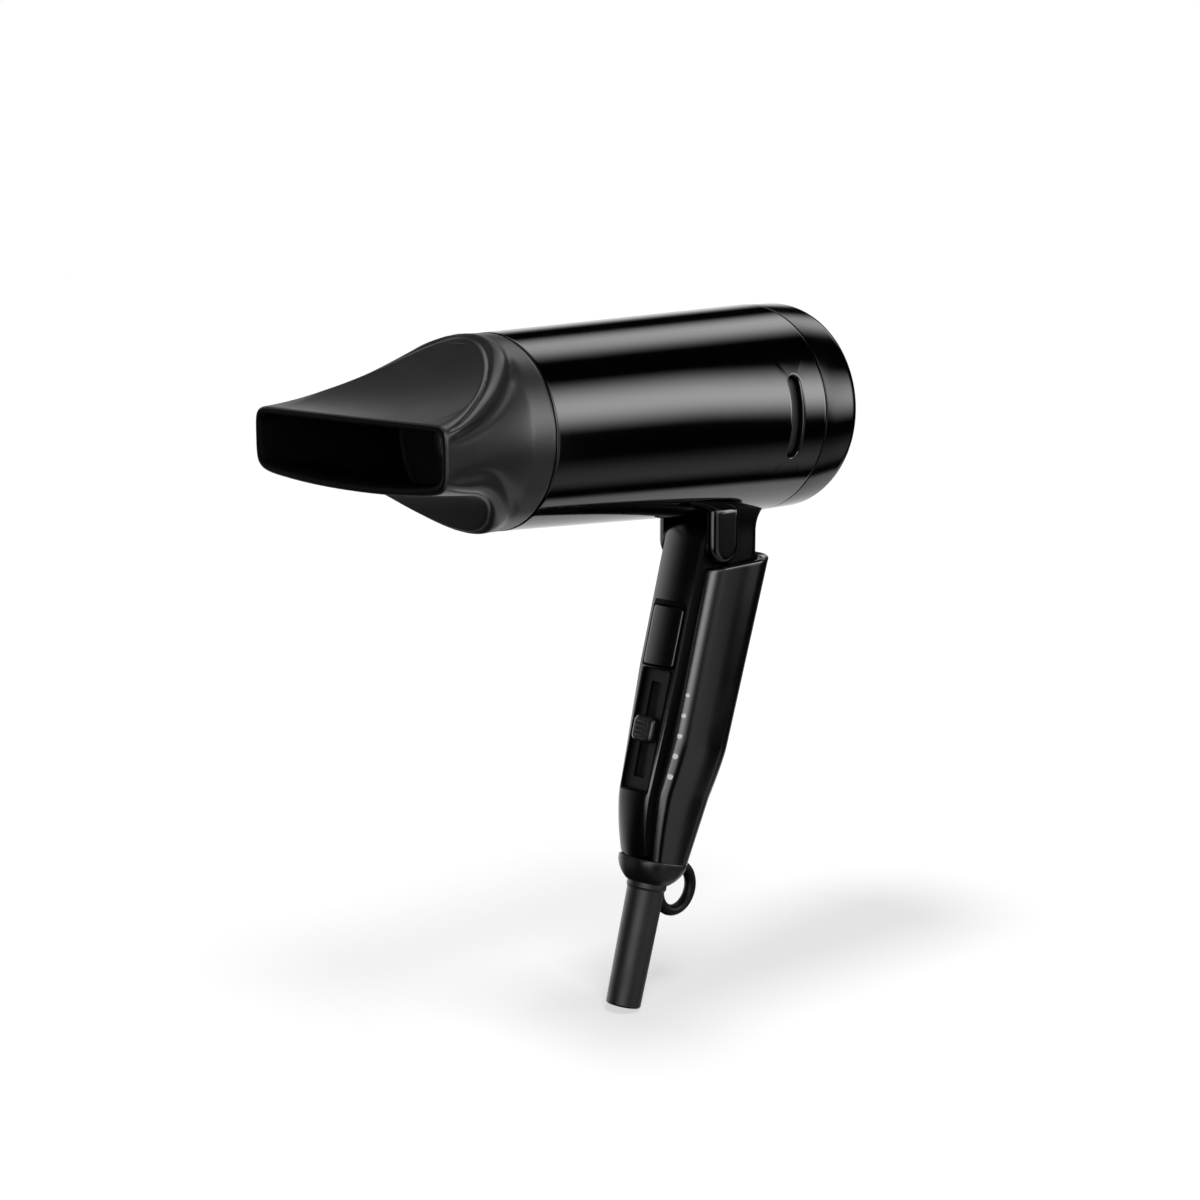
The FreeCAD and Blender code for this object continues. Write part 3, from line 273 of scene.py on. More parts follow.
def piece(name, parts, looks, body, stands_for=(), sharp=32.0):
    """One mesh object, smooth except at sharp edges, riding on a CAD body.

    Each part is (verts, faces) with the first look, or (verts, faces, look's number).
    """
    mesh = bpy.data.meshes.new(name)
    verts, faces, chosen = [], [], []
    for part in parts:
        faces += [tuple(i + len(verts) for i in face) for face in part[1]]
        verts += part[0]
        chosen += [part[2] if len(part) > 2 else 0] * len(part[1])
    mesh.from_pydata([tuple(v) for v in verts], [], faces)
    mesh.polygons.foreach_set("material_index", chosen)
    work = bmesh.new()
    work.from_mesh(mesh)
    bmesh.ops.remove_doubles(work, verts=work.verts, dist=0.002 * MM)
    bmesh.ops.recalc_face_normals(work, faces=work.faces)
    work.to_mesh(mesh)
    work.free()
    mesh.polygons.foreach_set("use_smooth", [True] * len(mesh.polygons))
    mesh.set_sharp_from_angle(angle=math.radians(sharp))
    for look in looks:
        mesh.materials.append(look)
    thing = bpy.data.objects.new(name, mesh)
    bpy.context.scene.collection.objects.link(thing)
    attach(thing, body)
    if stands_for:
        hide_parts(*stands_for)
    return thing


def skin(rings, cap_start=False, cap_end=False, closed=True):
    """Quads between rings of equal length, with flat ends if asked."""
    count = len(rings[0])
    verts = [v for ring in rings for v in ring]
    faces = []
    for i in range(len(rings) - 1):
        for j in range(count if closed else count - 1):
            k = (j + 1) % count
            faces.append((i * count + j, i * count + k, (i + 1) * count + k, (i + 1) * count + j))
    if cap_start:
        faces.append(tuple(range(count)))
    if cap_end:
        faces.append(tuple(range((len(rings) - 1) * count, len(rings) * count)))
    return verts, faces


def rounded(corners, closed=False, steps=6):
    """Corners (x, y, radius) as a polyline with its corners rounded."""
    line = []
    count = len(corners)
    for i, (x, y, radius) in enumerate(corners):
        here = Vector((x, y))
        if not radius or (not closed and i in (0, count - 1)):
            line.append(here)
            continue
        back = (Vector(corners[i - 1][:2]) - here).normalized()
        ahead = (Vector(corners[(i + 1) % count][:2]) - here).normalized()
        half = back.angle(ahead) / 2
        centre = here + (back + ahead).normalized() * (radius / math.sin(half))
        first = here + back * (radius / math.tan(half)) - centre
        last = here + ahead * (radius / math.tan(half)) - centre
        turn = math.atan2(first.x * last.y - first.y * last.x, first.dot(last))
        for step in range(steps + 1):
            angle = turn * step / steps
            spun = Vector((first.x * math.cos(angle) - first.y * math.sin(angle),
                           first.x * math.sin(angle) + first.y * math.cos(angle)))
            line.append(centre + spun)
    return line


def inset(outline, amount):
    """A closed anticlockwise outline moved inwards."""
    moved = []
    count = len(outline)
    for i, here in enumerate(outline):
        before = (here - outline[i - 1]).normalized()
        after = (outline[(i + 1) % count] - here).normalized()
        across = Vector((-before.y - after.y, before.x + after.x))
        across.normalize()
        lean = max(0.5, across.dot(Vector((-before.y, before.x))))
        moved.append(here + across * (amount / lean))
    return moved


def lathe(profile, place, segments):
    """Rings round an axis from a profile of (distance along, radius)."""
    rings = []
    for along, radius in profile:
        rings.append([place(along, radius, math.tau * j / segments) for j in range(segments)])
    return rings


def circle(radius, count, y=0.0, z=0.0):
    """Points (y, z) evenly round a centre."""
    turns = (math.tau * k / count for k in range(count))
    return [(y + radius * math.cos(a), z + radius * math.sin(a)) for a in turns]


def round_barrel(along, radius, angle):
    """The barrel's axis with angle 0 on the near side."""
    return in_barrel(along, -radius * math.cos(angle), radius * math.sin(angle))


def round_grip(along, radius, angle):
    """The grip's axis with angle 0 at the rear."""
    return in_handle(radius * math.cos(angle), radius * math.sin(angle), along)


def hole_rings(boundary, centre, half, radius, steps):
    """Rings from a patch's boundary in to a round-cornered hole, as (first, second, depth).

    Each step is (distance outside the hole's edge, depth below the surface).
    """
    rings = []
    feet = []
    for first, second in boundary:
        foot = (min(max(first, centre[0] - half[0]), centre[0] + half[0]),
                min(max(second, centre[1] - half[1]), centre[1] + half[1]))
        away = Vector((first - foot[0], second - foot[1])).normalized()
        feet.append((foot, away))
    outer = steps[0][0]
    for share in (0.5, 1.0):
        rings.append([(p[0] + (f[0] + a.x * (radius + outer) - p[0]) * share,
                       p[1] + (f[1] + a.y * (radius + outer) - p[1]) * share, 0.0)
                      for p, (f, a) in zip(boundary, feet)])
    for away_by, depth in steps[1:]:
        rings.append([(f[0] + a.x * (radius + away_by), f[1] + a.y * (radius + away_by), depth)
                      for f, a in feet])
    return rings


def perimeter(first_values, second_values):
    """The grid points round a patch, in order."""
    low, high = second_values[0], second_values[-1]
    points = [(value, low) for value in first_values]
    points += [(first_values[-1], value) for value in second_values[1:]]
    points += [(value, high) for value in reversed(first_values[:-1])]
    points += [(first_values[0], value) for value in reversed(second_values[1:-1])]
    return points


def spaced(low, high, count):
    """Evenly spaced values, both ends included."""
    return [low + (high - low) * i / count for i in range(count + 1)]


# ---------------------------------------------------------------- barrel

house_low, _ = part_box("barrel_housing")
cap_low, cap_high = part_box("rear_cap")
FRONT_X = house_low.x / MM
SEAM_X = 29.6
FRONT_RADIUS, SEAM_RADIUS = 27.2, 31.5
CAP_X = cap_high.x / MM
CAP_RADIUS = (cap_high.z - cap_low.z) / 2 / MM
FRONT_BORE, REAR_BORE = 25.3, 30.2
FRONT_LIP, REAR_LIP = 1.0, 0.8
VENT_X, VENT_HALF, VENT_REACH = 17.5, 2.25, 10.0
PATCH_HALF, PATCH_SEGMENTS = 6.0, 18
SEGMENTS = 192
STEP = math.tau / SEGMENTS

HINGE_X = PIVOT.x / MM
HINGE_Z = (PIVOT.z - AXIS_Z) / MM
NECK_HEIGHTS = (-13.4, -12.6, -11.0, -9.0, -7.0, -5.0, 0.0, 3.0, 5.0, 6.5, 7.6, 8.4, 9.2, 12.0)
NECK_FRONT, NECK_INNER, NECK_REAR, NECK_HALF = 3.0, 8.2, 18.2, 10.0
NECK_CUT_BACK_BELOW = -5.0
FLARE_FROM, FLARE_SPAN, FLARE_REACH = 2.5, 7.0, 2.1
EAR_HALF, EAR_TOP, EAR_EDGE = 6.0, 12.0, 2.3
EAR_INNER, EAR_OUTER = 9.15, 11.8

CAP_EDGE = 5.0
INTAKE_RADIUS = CAP_RADIUS - CAP_EDGE - 1.0
INTAKE_RINGS, INTAKE_PITCH, INTAKE_HOLE = 5, 4.3, 1.62
INTAKE_SIDES = 20


def housing_radius(x):
    """Radius of the tapered tube's outside."""
    return FRONT_RADIUS + (SEAM_RADIUS - FRONT_RADIUS) * (x - FRONT_X) / (SEAM_X - FRONT_X)


def barrel_point(x, angle, depth=0.0):
    return round_barrel(x, housing_radius(x) - depth, angle)


def barrel_shell():
    """The glossy tube: rounded lips, and a bevelled vent slot in each side."""
    patch_x = spaced(VENT_X - PATCH_HALF, VENT_X + PATCH_HALF, 12)
    lip_x, rim_x = FRONT_X + FRONT_LIP, SEAM_X - REAR_LIP
    stations = spaced(lip_x, patch_x[0], 16)[:-1] + patch_x + [SEAM_X - 2, rim_x]
    front = rounded([(FRONT_X + 9, FRONT_BORE, 0), (FRONT_X, FRONT_BORE, 0.3),
                     (FRONT_X, housing_radius(FRONT_X), 0.45), (lip_x, housing_radius(lip_x), 0)])
    rear = rounded([(rim_x, housing_radius(rim_x), 0), (SEAM_X, housing_radius(SEAM_X), 0.35),
                    (SEAM_X, REAR_BORE, 0.2), (SEAM_X - 6, REAR_BORE, 0)])
    parts = [skin(lathe(outline, round_barrel, SEGMENTS)) for outline in (front, rear)]
    first = stations.index(patch_x[0])
    last = stations.index(patch_x[-1])
    middles = (0, SEGMENTS // 2)
    grid = [[barrel_point(x, STEP * j) for j in range(SEGMENTS)] for x in stations]
    verts = [v for ring in grid for v in ring]
    faces = []
    for i in range(len(stations) - 1):
        for j in range(SEGMENTS):
            near = min(min((j - m) % SEGMENTS, (m - 1 - j) % SEGMENTS) for m in middles)
            if first <= i < last and near < PATCH_SEGMENTS:
                continue
            k = (j + 1) % SEGMENTS
            faces.append((i * SEGMENTS + j, i * SEGMENTS + k,
                          (i + 1) * SEGMENTS + k, (i + 1) * SEGMENTS + j))
    parts.append((verts, faces))
    radius = housing_radius(VENT_X)
    half = math.asin(VENT_REACH / radius) * radius
    arcs = [STEP * radius * j for j in range(-PATCH_SEGMENTS, PATCH_SEGMENTS + 1)]
    edge = perimeter(patch_x, arcs)
    bevel = ((1.0, 0.0), (0.5, 0.0), (0.36, 0.03), (0.12, 0.22), (0.0, 0.45), (0.0, 2.6))
    for middle in middles:
        turn = STEP * middle
        rings = [[(x, arc, 0.0) for x, arc in edge]]
        rings += hole_rings(edge, (VENT_X, 0.0), (0.0, half), VENT_HALF, bevel)
        placed = [[barrel_point(x, turn + arc / radius, depth) for x, arc, depth in ring]
                  for ring in rings]
        parts.append(skin(placed[:-1]))
        # The slot's inner wall takes the unreflective copy of the barrel plastic: painted shade inside the
        # vent.
        parts.append((*skin(placed[-2:]), 1))
    return piece("barrel_shell", parts, [barrel_black, vent_inner_painted_shade], "barrel", ["barrel_housing"],
                 sharp=40)


def hinge_neck():
    """Block under the barrel that the hinge hangs from, flared where it meets the tube."""
    front, inner = HINGE_X + NECK_FRONT, HINGE_X + NECK_INNER
    rings = []
    for height in NECK_HEIGHTS:
        flare = FLARE_REACH * max(0.0, (height - FLARE_FROM) / FLARE_SPAN) ** 2.2
        under = max(0.0, NECK_CUT_BACK_BELOW - height) * 0.95
        rear = HINGE_X + NECK_REAR + flare - under
        side = NECK_HALF + flare * 0.45
        corner = max(2.0, 5.5 - under * 0.3)
        outline = rounded([
            (front, -side, 0.6), (rear, -side, corner), (rear, side, corner), (front, side, 0.6),
            (front, EAR_INNER, 0.2), (inner, EAR_INNER, 0.2), (inner, -EAR_INNER, 0.2),
            (front, -EAR_INNER, 0.2)], closed=True)
        rings.append([in_barrel(p.x, p.y, HINGE_Z + height) for p in outline])
    # The whole neck takes the dull hinge plastic: painted shade under the barrel.
    return piece("hinge_neck", [skin(rings, cap_start=True, cap_end=True)], [hinge_painted_shade], "barrel",
                 ["barrel_housing"])


def hinge_ear(name, side):
    """One ear of the hinge: a plate with a round lower end and softened edges."""
    flat = [(EAR_HALF, EAR_TOP)] + [(-EAR_HALF, z) for z in (EAR_TOP, 8.0, 4.0)]
    flat += [(EAR_HALF * math.cos(a), EAR_HALF * math.sin(a)) for a in spaced(math.pi, math.tau, 24)]
    flat += [(EAR_HALF, z) for z in (4.0, 8.0)]
    outline = [Vector((HINGE_X + x, HINGE_Z + z)) for x, z in flat]
    levels = [(EAR_INNER, 0.15), (EAR_INNER + 0.15, 0.0), (EAR_OUTER - EAR_EDGE, 0.0)]
    levels += [(EAR_OUTER - EAR_EDGE * (1 - math.sin(a)), EAR_EDGE * (1 - math.cos(a)))
               for a in spaced(0.0, math.pi / 2, 8)[1:]]
    levels.append((EAR_OUTER + 0.02, EAR_EDGE + 1.2))
    rings = [[in_barrel(p.x, side * y, p.y) for p in inset(outline, by)] for y, by in levels]
    # The ear's rounded edges keep the glossy barrel plastic; its flat outer face takes the dull hinge
    # plastic, as painted shade.
    parts = [skin(rings[:-1], cap_start=True), (*skin(rings[-2:], cap_end=True), 1)]
    return piece(name, parts, [barrel_black, hinge_painted_shade], "barrel",
                 ["barrel_housing"])


def intake_cap():
    """Rounded rear cup whose flat end is pierced by rings of round holes."""
    profile = rounded([(SEAM_X - 4, 29.9, 0), (SEAM_X + 0.4, 29.9, 0.1), (SEAM_X + 0.4, CAP_RADIUS, 0.35),
                       (CAP_X, CAP_RADIUS, CAP_EDGE), (CAP_X, INTAKE_RADIUS, 0)], steps=10)
    parts = [skin(lathe(profile, round_barrel, SEGMENTS))]
    centres = [(0.0, 0.0)]
    for ring in range(1, INTAKE_RINGS + 1):
        centres += circle(INTAKE_PITCH * ring, 6 * ring)
    flat = [Vector((-INTAKE_RADIUS * math.cos(STEP * j), INTAKE_RADIUS * math.sin(STEP * j)))
            for j in range(SEGMENTS)]
    edges = [(j, (j + 1) % SEGMENTS) for j in range(SEGMENTS)]
    for y, z in centres:
        start = len(flat)
        flat += [Vector(p) for p in circle(INTAKE_HOLE, INTAKE_SIDES, y, z)]
        edges += [(start + k, start + (k + 1) % INTAKE_SIDES) for k in range(INTAKE_SIDES)]
    found = geometry.delaunay_2d_cdt(flat, edges, [], 0, 1e-6)
    spots, triangles = found[0], found[2]
    kept = []
    for triangle in triangles:
        middle = sum((spots[i] for i in triangle), Vector((0, 0))) / 3
        if all((middle - Vector(centre)).length > INTAKE_HOLE - 0.02 for centre in centres):
            kept.append(tuple(triangle))
    parts.append(([in_barrel(CAP_X, p.x, p.y) for p in spots], kept))
    for y, z in centres:
        steps = ((INTAKE_HOLE, 0.0), (1.45, 0.08), (1.35, 0.3), (1.35, 2.0))
        parts.append(skin([[in_barrel(CAP_X - depth, *p) for p in circle(radius, INTAKE_SIDES, y, z)]
                           for radius, depth in steps]))
    return piece("intake_cap", parts, [cap_black], "barrel", ["rear_cap"], sharp=30)


barrel_shell()
hinge_neck()
hinge_ear("hinge_ear_near", -1)
hinge_ear("hinge_ear_far", 1)
intake_cap()


# ---------------------------------------------------------------- nozzle

nozzle_low, nozzle_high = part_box("nozzle")
MOUTH_X = nozzle_low.x / MM
COLLAR_REAR_X = nozzle_high.x / MM
COLLAR_X = -84.0
COLLAR_RADIUS = 27.1
MOUTH_HALF = 40.0
MOUTH_TOP, MOUTH_BOTTOM = 7.9, -11.6
MOUTH_EDGE, MOUTH_TALL, MOUTH_SQUARENESS = 1.0, 20.5, 1.3
FLARE_POWER = 1.18
NOZZLE_WALL, NOZZLE_SEAT = 2.0, 25.05
NOZZLE_LENGTH = COLLAR_X - MOUTH_X
PANEL_SLOPE, MOUTH_SLOPE = 0.9, -0.09
SLAB_START, SLAB_SLOPE, SLAB_BLEND = 18.0, 0.048, 7.0
PANEL_BLEND, MOUTH_BLEND = 1.8, 5.5
DISH_DEPTH, DISH_HALF, BOTTOM_CROWN = 1.3, 30.0, 2.6
RELIEF_NARROWS, BOTTOM_RELIEF = 0.55, 0.45
RIDGE_HEIGHT, RIDGE_AT, RIDGE_WIDTH = 1.45, 4.0, 2.5
GROOVE_DEPTH, GROOVE_AT, GROOVE_WIDTH = 1.0, 8.6, 2.0
CREASE_DEPTH, CREASE_AT, CREASE_WIDTH = 0.8, 0.2, 0.8
AROUND = 400


def eased(start, end, slope_start, slope_end, t, length):
    """Cubic from start to end with the slopes given, at the share t of its length."""
    return ((2 * t ** 3 - 3 * t * t + 1) * start + (t ** 3 - 2 * t * t + t) * length * slope_start
            + (3 * t * t - 2 * t ** 3) * end + (t ** 3 - t * t) * length * slope_end)


def top_height(x):
    """Height of the top panel, which falls from the collar and levels out at the mouth."""
    ahead = COLLAR_X - x
    start = COLLAR_RADIUS + 0.4
    if ahead <= 0:
        return start - ahead * PANEL_SLOPE
    share = min(ahead / NOZZLE_LENGTH, 1.0)
    return eased(start, MOUTH_TOP, -PANEL_SLOPE, MOUTH_SLOPE, share, NOZZLE_LENGTH)


def bottom_height(x):
    """Height of the bottom panel, which rises steeply from the collar and then runs nearly level."""
    ahead = COLLAR_X - x
    slope = -(COLLAR_RADIUS + 0.6) + ahead * PANEL_SLOPE
    slab = MOUTH_BOTTOM - 1.1 + max(0.0, ahead - SLAB_START) * SLAB_SLOPE
    return soft_low(slope, slab, SLAB_BLEND)


def soft_low(a, b, blend):
    """The lower of two numbers, blended where they are close."""
    h = min(max(0.5 + 0.5 * (b - a) / blend, 0.0), 1.0)
    return b * (1 - h) + a * h - blend * h * (1 - h)


def soft_high(a, b, blend):
    """The higher of two numbers, blended where they are close."""
    return -soft_low(-a, -b, blend)


def hump(distance, middle, width):
    """A smooth bump of height 1."""
    return math.exp(-((distance - middle) / width) ** 2)


def nozzle_section(x, inward, relief=1.0):
    """The nozzle's outline at x, moved inwards by the wall given.

    It goes from a circle at the collar to a wide superellipse cut by two panels at the mouth. Between
    each panel and the flared side runs a rounded ridge between two grooves; relief scales it.
    """
    share = min(max((COLLAR_X - x) / NOZZLE_LENGTH, 0.0), 1.0)
    spread = share ** FLARE_POWER
    power = 2.0 + MOUTH_SQUARENESS * share
    radius = COLLAR_RADIUS - inward
    wide, tall = MOUTH_HALF - inward, MOUTH_TALL - inward
    top = top_height(x) - inward
    bottom = bottom_height(x) + inward
    blend = PANEL_BLEND + MOUTH_BLEND * share ** 4
    narrow = 1 - RELIEF_NARROWS * share
    grown = min(1.0, max(0.0, (COLLAR_X + 2.0 - x) / 4.0)) * (1 - 0.5 * share) * relief
    grown *= min(1.0, max(0.0, (x - MOUTH_X - 1.2) / 5.0))
    outline, lifts = [], []
    for c, s in circle(1.0, AROUND):
        mouth_y = wide * math.copysign(abs(c) ** (2 / power), c)
        mouth_z = tall * math.copysign(abs(s) ** (2 / power), s)
        y = radius * c + (mouth_y - radius * c) * spread
        z = radius * s + (mouth_z - radius * s) * spread
        height = grown
        if s >= 0:
            panel = top - DISH_DEPTH * 4 * share * (1 - share) * max(0.0, 1 - (y / DISH_HALF) ** 2)
            below = panel - z
            level = soft_low(z, panel, blend)
        else:
            panel = bottom + BOTTOM_CROWN * share * (abs(y) / wide) ** 2.2
            below = z - panel
            level = soft_high(z, panel, blend)
            height *= BOTTOM_RELIEF
        lift = RIDGE_HEIGHT * hump(below, RIDGE_AT * narrow, RIDGE_WIDTH * narrow)
        lift -= GROOVE_DEPTH * hump(below, GROOVE_AT * narrow, GROOVE_WIDTH * narrow)
        lift -= CREASE_DEPTH * hump(below, CREASE_AT, CREASE_WIDTH * narrow)
        outline.append(Vector((y, level)))
        lifts.append(lift * height)
    raised = []
    for index, here in enumerate(outline):
        along = outline[(index + 1) % AROUND] - outline[index - 1]
        across = Vector((along.y, -along.x)).normalized()
        raised.append(here + across * lifts[index])
    return raised


def air_nozzle():
    """Concentrator: a round collar swept into a wide slot, with dished panels between ridges."""
    rear = COLLAR_REAR_X
    collar = ((COLLAR_X - 1.6, NOZZLE_SEAT), (rear - 0.3, NOZZLE_SEAT), (rear, NOZZLE_SEAT + 0.3),
              (rear, COLLAR_RADIUS - 0.4), (rear - 0.12, COLLAR_RADIUS - 0.12), (rear - 0.4, COLLAR_RADIUS))
    rings = [[in_barrel(x, *p) for p in circle(radius, AROUND)] for x, radius in collar]
    stations = spaced(rear - 1.2, COLLAR_X, 8) + spaced(COLLAR_X, MOUTH_X + MOUTH_EDGE, 90)[1:]
    levels = [(x, 0.0) for x in stations]
    levels += [(MOUTH_X + MOUTH_EDGE * (1 - math.sin(a)), MOUTH_EDGE * (1 - math.cos(a)))
               for a in spaced(0.0, math.pi, 10)[1:]]
    rings += [[in_barrel(x, p.x, p.y) for p in nozzle_section(x, inward)] for x, inward in levels]
    inner = [[in_barrel(x, p.x, p.y) for p in nozzle_section(x, NOZZLE_WALL, max(0.0, 1 - i / 8))]
             for i, x in enumerate(spaced(MOUTH_X + MOUTH_EDGE, COLLAR_X - 1.6, 40))]
    # The inner half of the mouth's lip and the whole inside take the darker copy of the nozzle plastic:
    # painted shade.
    parts = [skin(rings[:-7]), (*skin(rings[-8:] + inner + [rings[0]]), 1)]
    return piece("air_nozzle", parts, [nozzle_black, nozzle_inner_painted_shade], "nozzle", ["nozzle"],
                 sharp=40)


air_nozzle()


# ---------------------------------------------------------------- handle

SHELL_FRONT, SHELL_REAR, SHELL_HALF = -10.5, 15.2, 13.2
REAR_FLARE = 2.5
FRONT_CORNER, REAR_CORNER = 5.2, 10.0
FLANK_SLOPE, FLANK_KNEE, FLANK_BEND = 1.1, 0.45, 50.0
SHELL_WALL, SHELL_LIP = 1.8, 0.8
TAPER_START, TAPER_MIDDLE, SHELL_BOTTOM = -60.0, -76.0, -97.2
REAR_SHRINK, REAR_SHRINK_LOW, FRONT_SHRINK = 0.15, 0.16, 0.35
RIM_LEVEL, RIM_DROP, RIM_RISE = -2.5, 6.5, 0.05
FRONT_FACE = -14.5
STRIP_HALF, STRIP_LOW_HALF, STRIP_NARROWS = 8.5, 5.7, -40.0
STRIP_CORE, STRIP_CROWN, STRIP_EDGE = 5.6, 1.4, 0.8
CORE_NARROWS = 2.0
KNUCKLE_RADIUS = 7.5
WINDOWS_TOP, WINDOWS_MIDDLE, WINDOWS_LOW = -18.0, -39.9, -78.0
BUTTON_C, BUTTON_HALF_Y, BUTTON_HALF_C, BUTTON_PROUD = -30.2, 6.05, 9.02, 0.35
KNOB_C, KNOB_HALF_Y, KNOB_HALF_C, KNOB_PROUD = -58.6, 4.1, 4.0, 1.5
MARK_COUNT, MARK_PITCH = 5, 6.2
COLLAR_TOP, COLLAR_HEIGHT, COLLAR_END_RADIUS = -97.3, 7.1, 8.1
SLEEVE_RADIUS, SLEEVE_END = 5.75, -142.6
LOOP_U, LOOP_C, LOOP_REACH = 12.7, -105.5, 7.1


def taper(c):
    """Scales of the shell's rear and front at height c: full size above, drawn in below."""
    if c > TAPER_START:
        return 1.0, 1.0
    if c > TAPER_MIDDLE:
        share = (TAPER_START - c) / (TAPER_START - TAPER_MIDDLE)
        return 1 - REAR_SHRINK * share ** 1.3, 1.0
    share = (TAPER_MIDDLE - c) / (TAPER_MIDDLE - SHELL_BOTTOM)
    return 1 - REAR_SHRINK - REAR_SHRINK_LOW * share, 1 - FRONT_SHRINK * share ** 1.4


def strip_half(c):
    """Half the strip's width at height c."""
    if c > STRIP_NARROWS:
        return STRIP_HALF
    share = (STRIP_NARROWS - c) / (STRIP_NARROWS - SHELL_BOTTOM)
    return STRIP_HALF + (STRIP_LOW_HALF - STRIP_HALF) * share


@functools.lru_cache(maxsize=None)
def shell_outline(c, inward):
    """Half-open channel section: from one edge of the strip round the back to the other."""
    rear_scale, front_scale = taper(c)
    front = SHELL_FRONT * front_scale + inward
    flare = REAR_FLARE * max(0.0, (c - TAPER_START) / (8 - TAPER_START))
    rear = SHELL_REAR * rear_scale + flare - inward
    half = SHELL_HALF * rear_scale - inward
    corner = max(0.8, FRONT_CORNER * rear_scale - inward)
    back = REAR_CORNER * rear_scale - inward
    narrow = half - FLANK_SLOPE * rear_scale
    knee = front + FLANK_KNEE * (rear - front)
    slot = min(strip_half(c) + 0.15, narrow - corner - 0.05)
    half_line = [(front, slot, 0), (front, narrow, corner), (knee, half, FLANK_BEND), (rear, half, back)]
    return rounded([(u, -y, radius) for u, y, radius in half_line] + half_line[::-1], steps=16)


def rim(u):
    """Height of the cup's rim at distance u."""
    behind = u + PIVOT_AHEAD
    return (behind * (LEAN_SIN + RIM_RISE) - RIM_DROP) / LEAN_COS


def handle_cover():
    """The rear shell: a tapered channel whose rim makes a cup round the neck."""
    outside, inside = [], []
    for share in spaced(0.0, 0.9, 60)[:-1] + spaced(0.9, 1.0, 14):
        level = SHELL_BOTTOM + share * (RIM_LEVEL - SHELL_BOTTOM)
        for rings, inward in ((outside, 0.0), (inside, SHELL_WALL)):
            ring = []
            for index, rough in enumerate(shell_outline(level, inward)):
                c = SHELL_BOTTOM + share * (rim(rough.x) - SHELL_LIP - SHELL_BOTTOM)
                p = shell_outline(round(c, 1), inward)[index]
                ring.append(in_handle(p.x, p.y, c))
            rings.append(ring)
    turn = []
    for angle in spaced(0.0, math.pi, 12)[1:-1]:
        inward = SHELL_WALL / 2 * (1 - math.cos(angle))
        turn.append([in_handle(p.x, p.y, rim(p.x) - SHELL_LIP * (1 - math.sin(angle)))
                     for p in shell_outline(RIM_LEVEL, inward)])
    rings = outside + turn + inside[::-1]
    verts, faces = skin(rings, closed=False)
    count = len(outside[0])
    last = len(rings) - 1
    first = len(outside) - 1
    for side in (0, count - 1):
        for i in range(first):
            faces.append((i * count + side, (i + 1) * count + side, (last - i - 1) * count + side,
                          (last - i) * count + side))
        faces.append(tuple(i * count + side for i in range(first, last + 1 - first)))
    for j in range(count - 1):
        faces.append((j, j + 1, last * count + j + 1, last * count + j))
    return piece("handle_cover", [(verts, faces)], [handle_black], "handle", ["handle_shell"],
                 sharp=38)


def crown(y):
    """How far the strip's face falls back at y: a gentle crown with well rounded edges."""
    over = min(max(0.0, abs(y) - (STRIP_HALF - STRIP_EDGE)), STRIP_EDGE)
    return STRIP_CROWN * (y / STRIP_HALF) ** 2 + STRIP_EDGE - math.sqrt(STRIP_EDGE ** 2 - over * over)


def strip_side(y, c):
    """A y of the full-width strip moved to where it lies at height c."""
    core = STRIP_CORE
    if c < WINDOWS_LOW:
        core -= CORE_NARROWS * (WINDOWS_LOW - c) / (WINDOWS_LOW - SHELL_BOTTOM)
    if abs(y) <= STRIP_CORE:
        return y * core / STRIP_CORE
    share = (abs(y) - STRIP_CORE) / (STRIP_HALF - STRIP_CORE)
    return math.copysign(core + (strip_half(c) - core) * share, y)


def panel_front(c):
    """Distance of the strip's front face at height c."""
    if c > WINDOWS_LOW:
        return FRONT_FACE
    share = (WINDOWS_LOW - c) / (WINDOWS_LOW - SHELL_BOTTOM)
    return FRONT_FACE * (1 - FRONT_SHRINK * share ** 1.6)


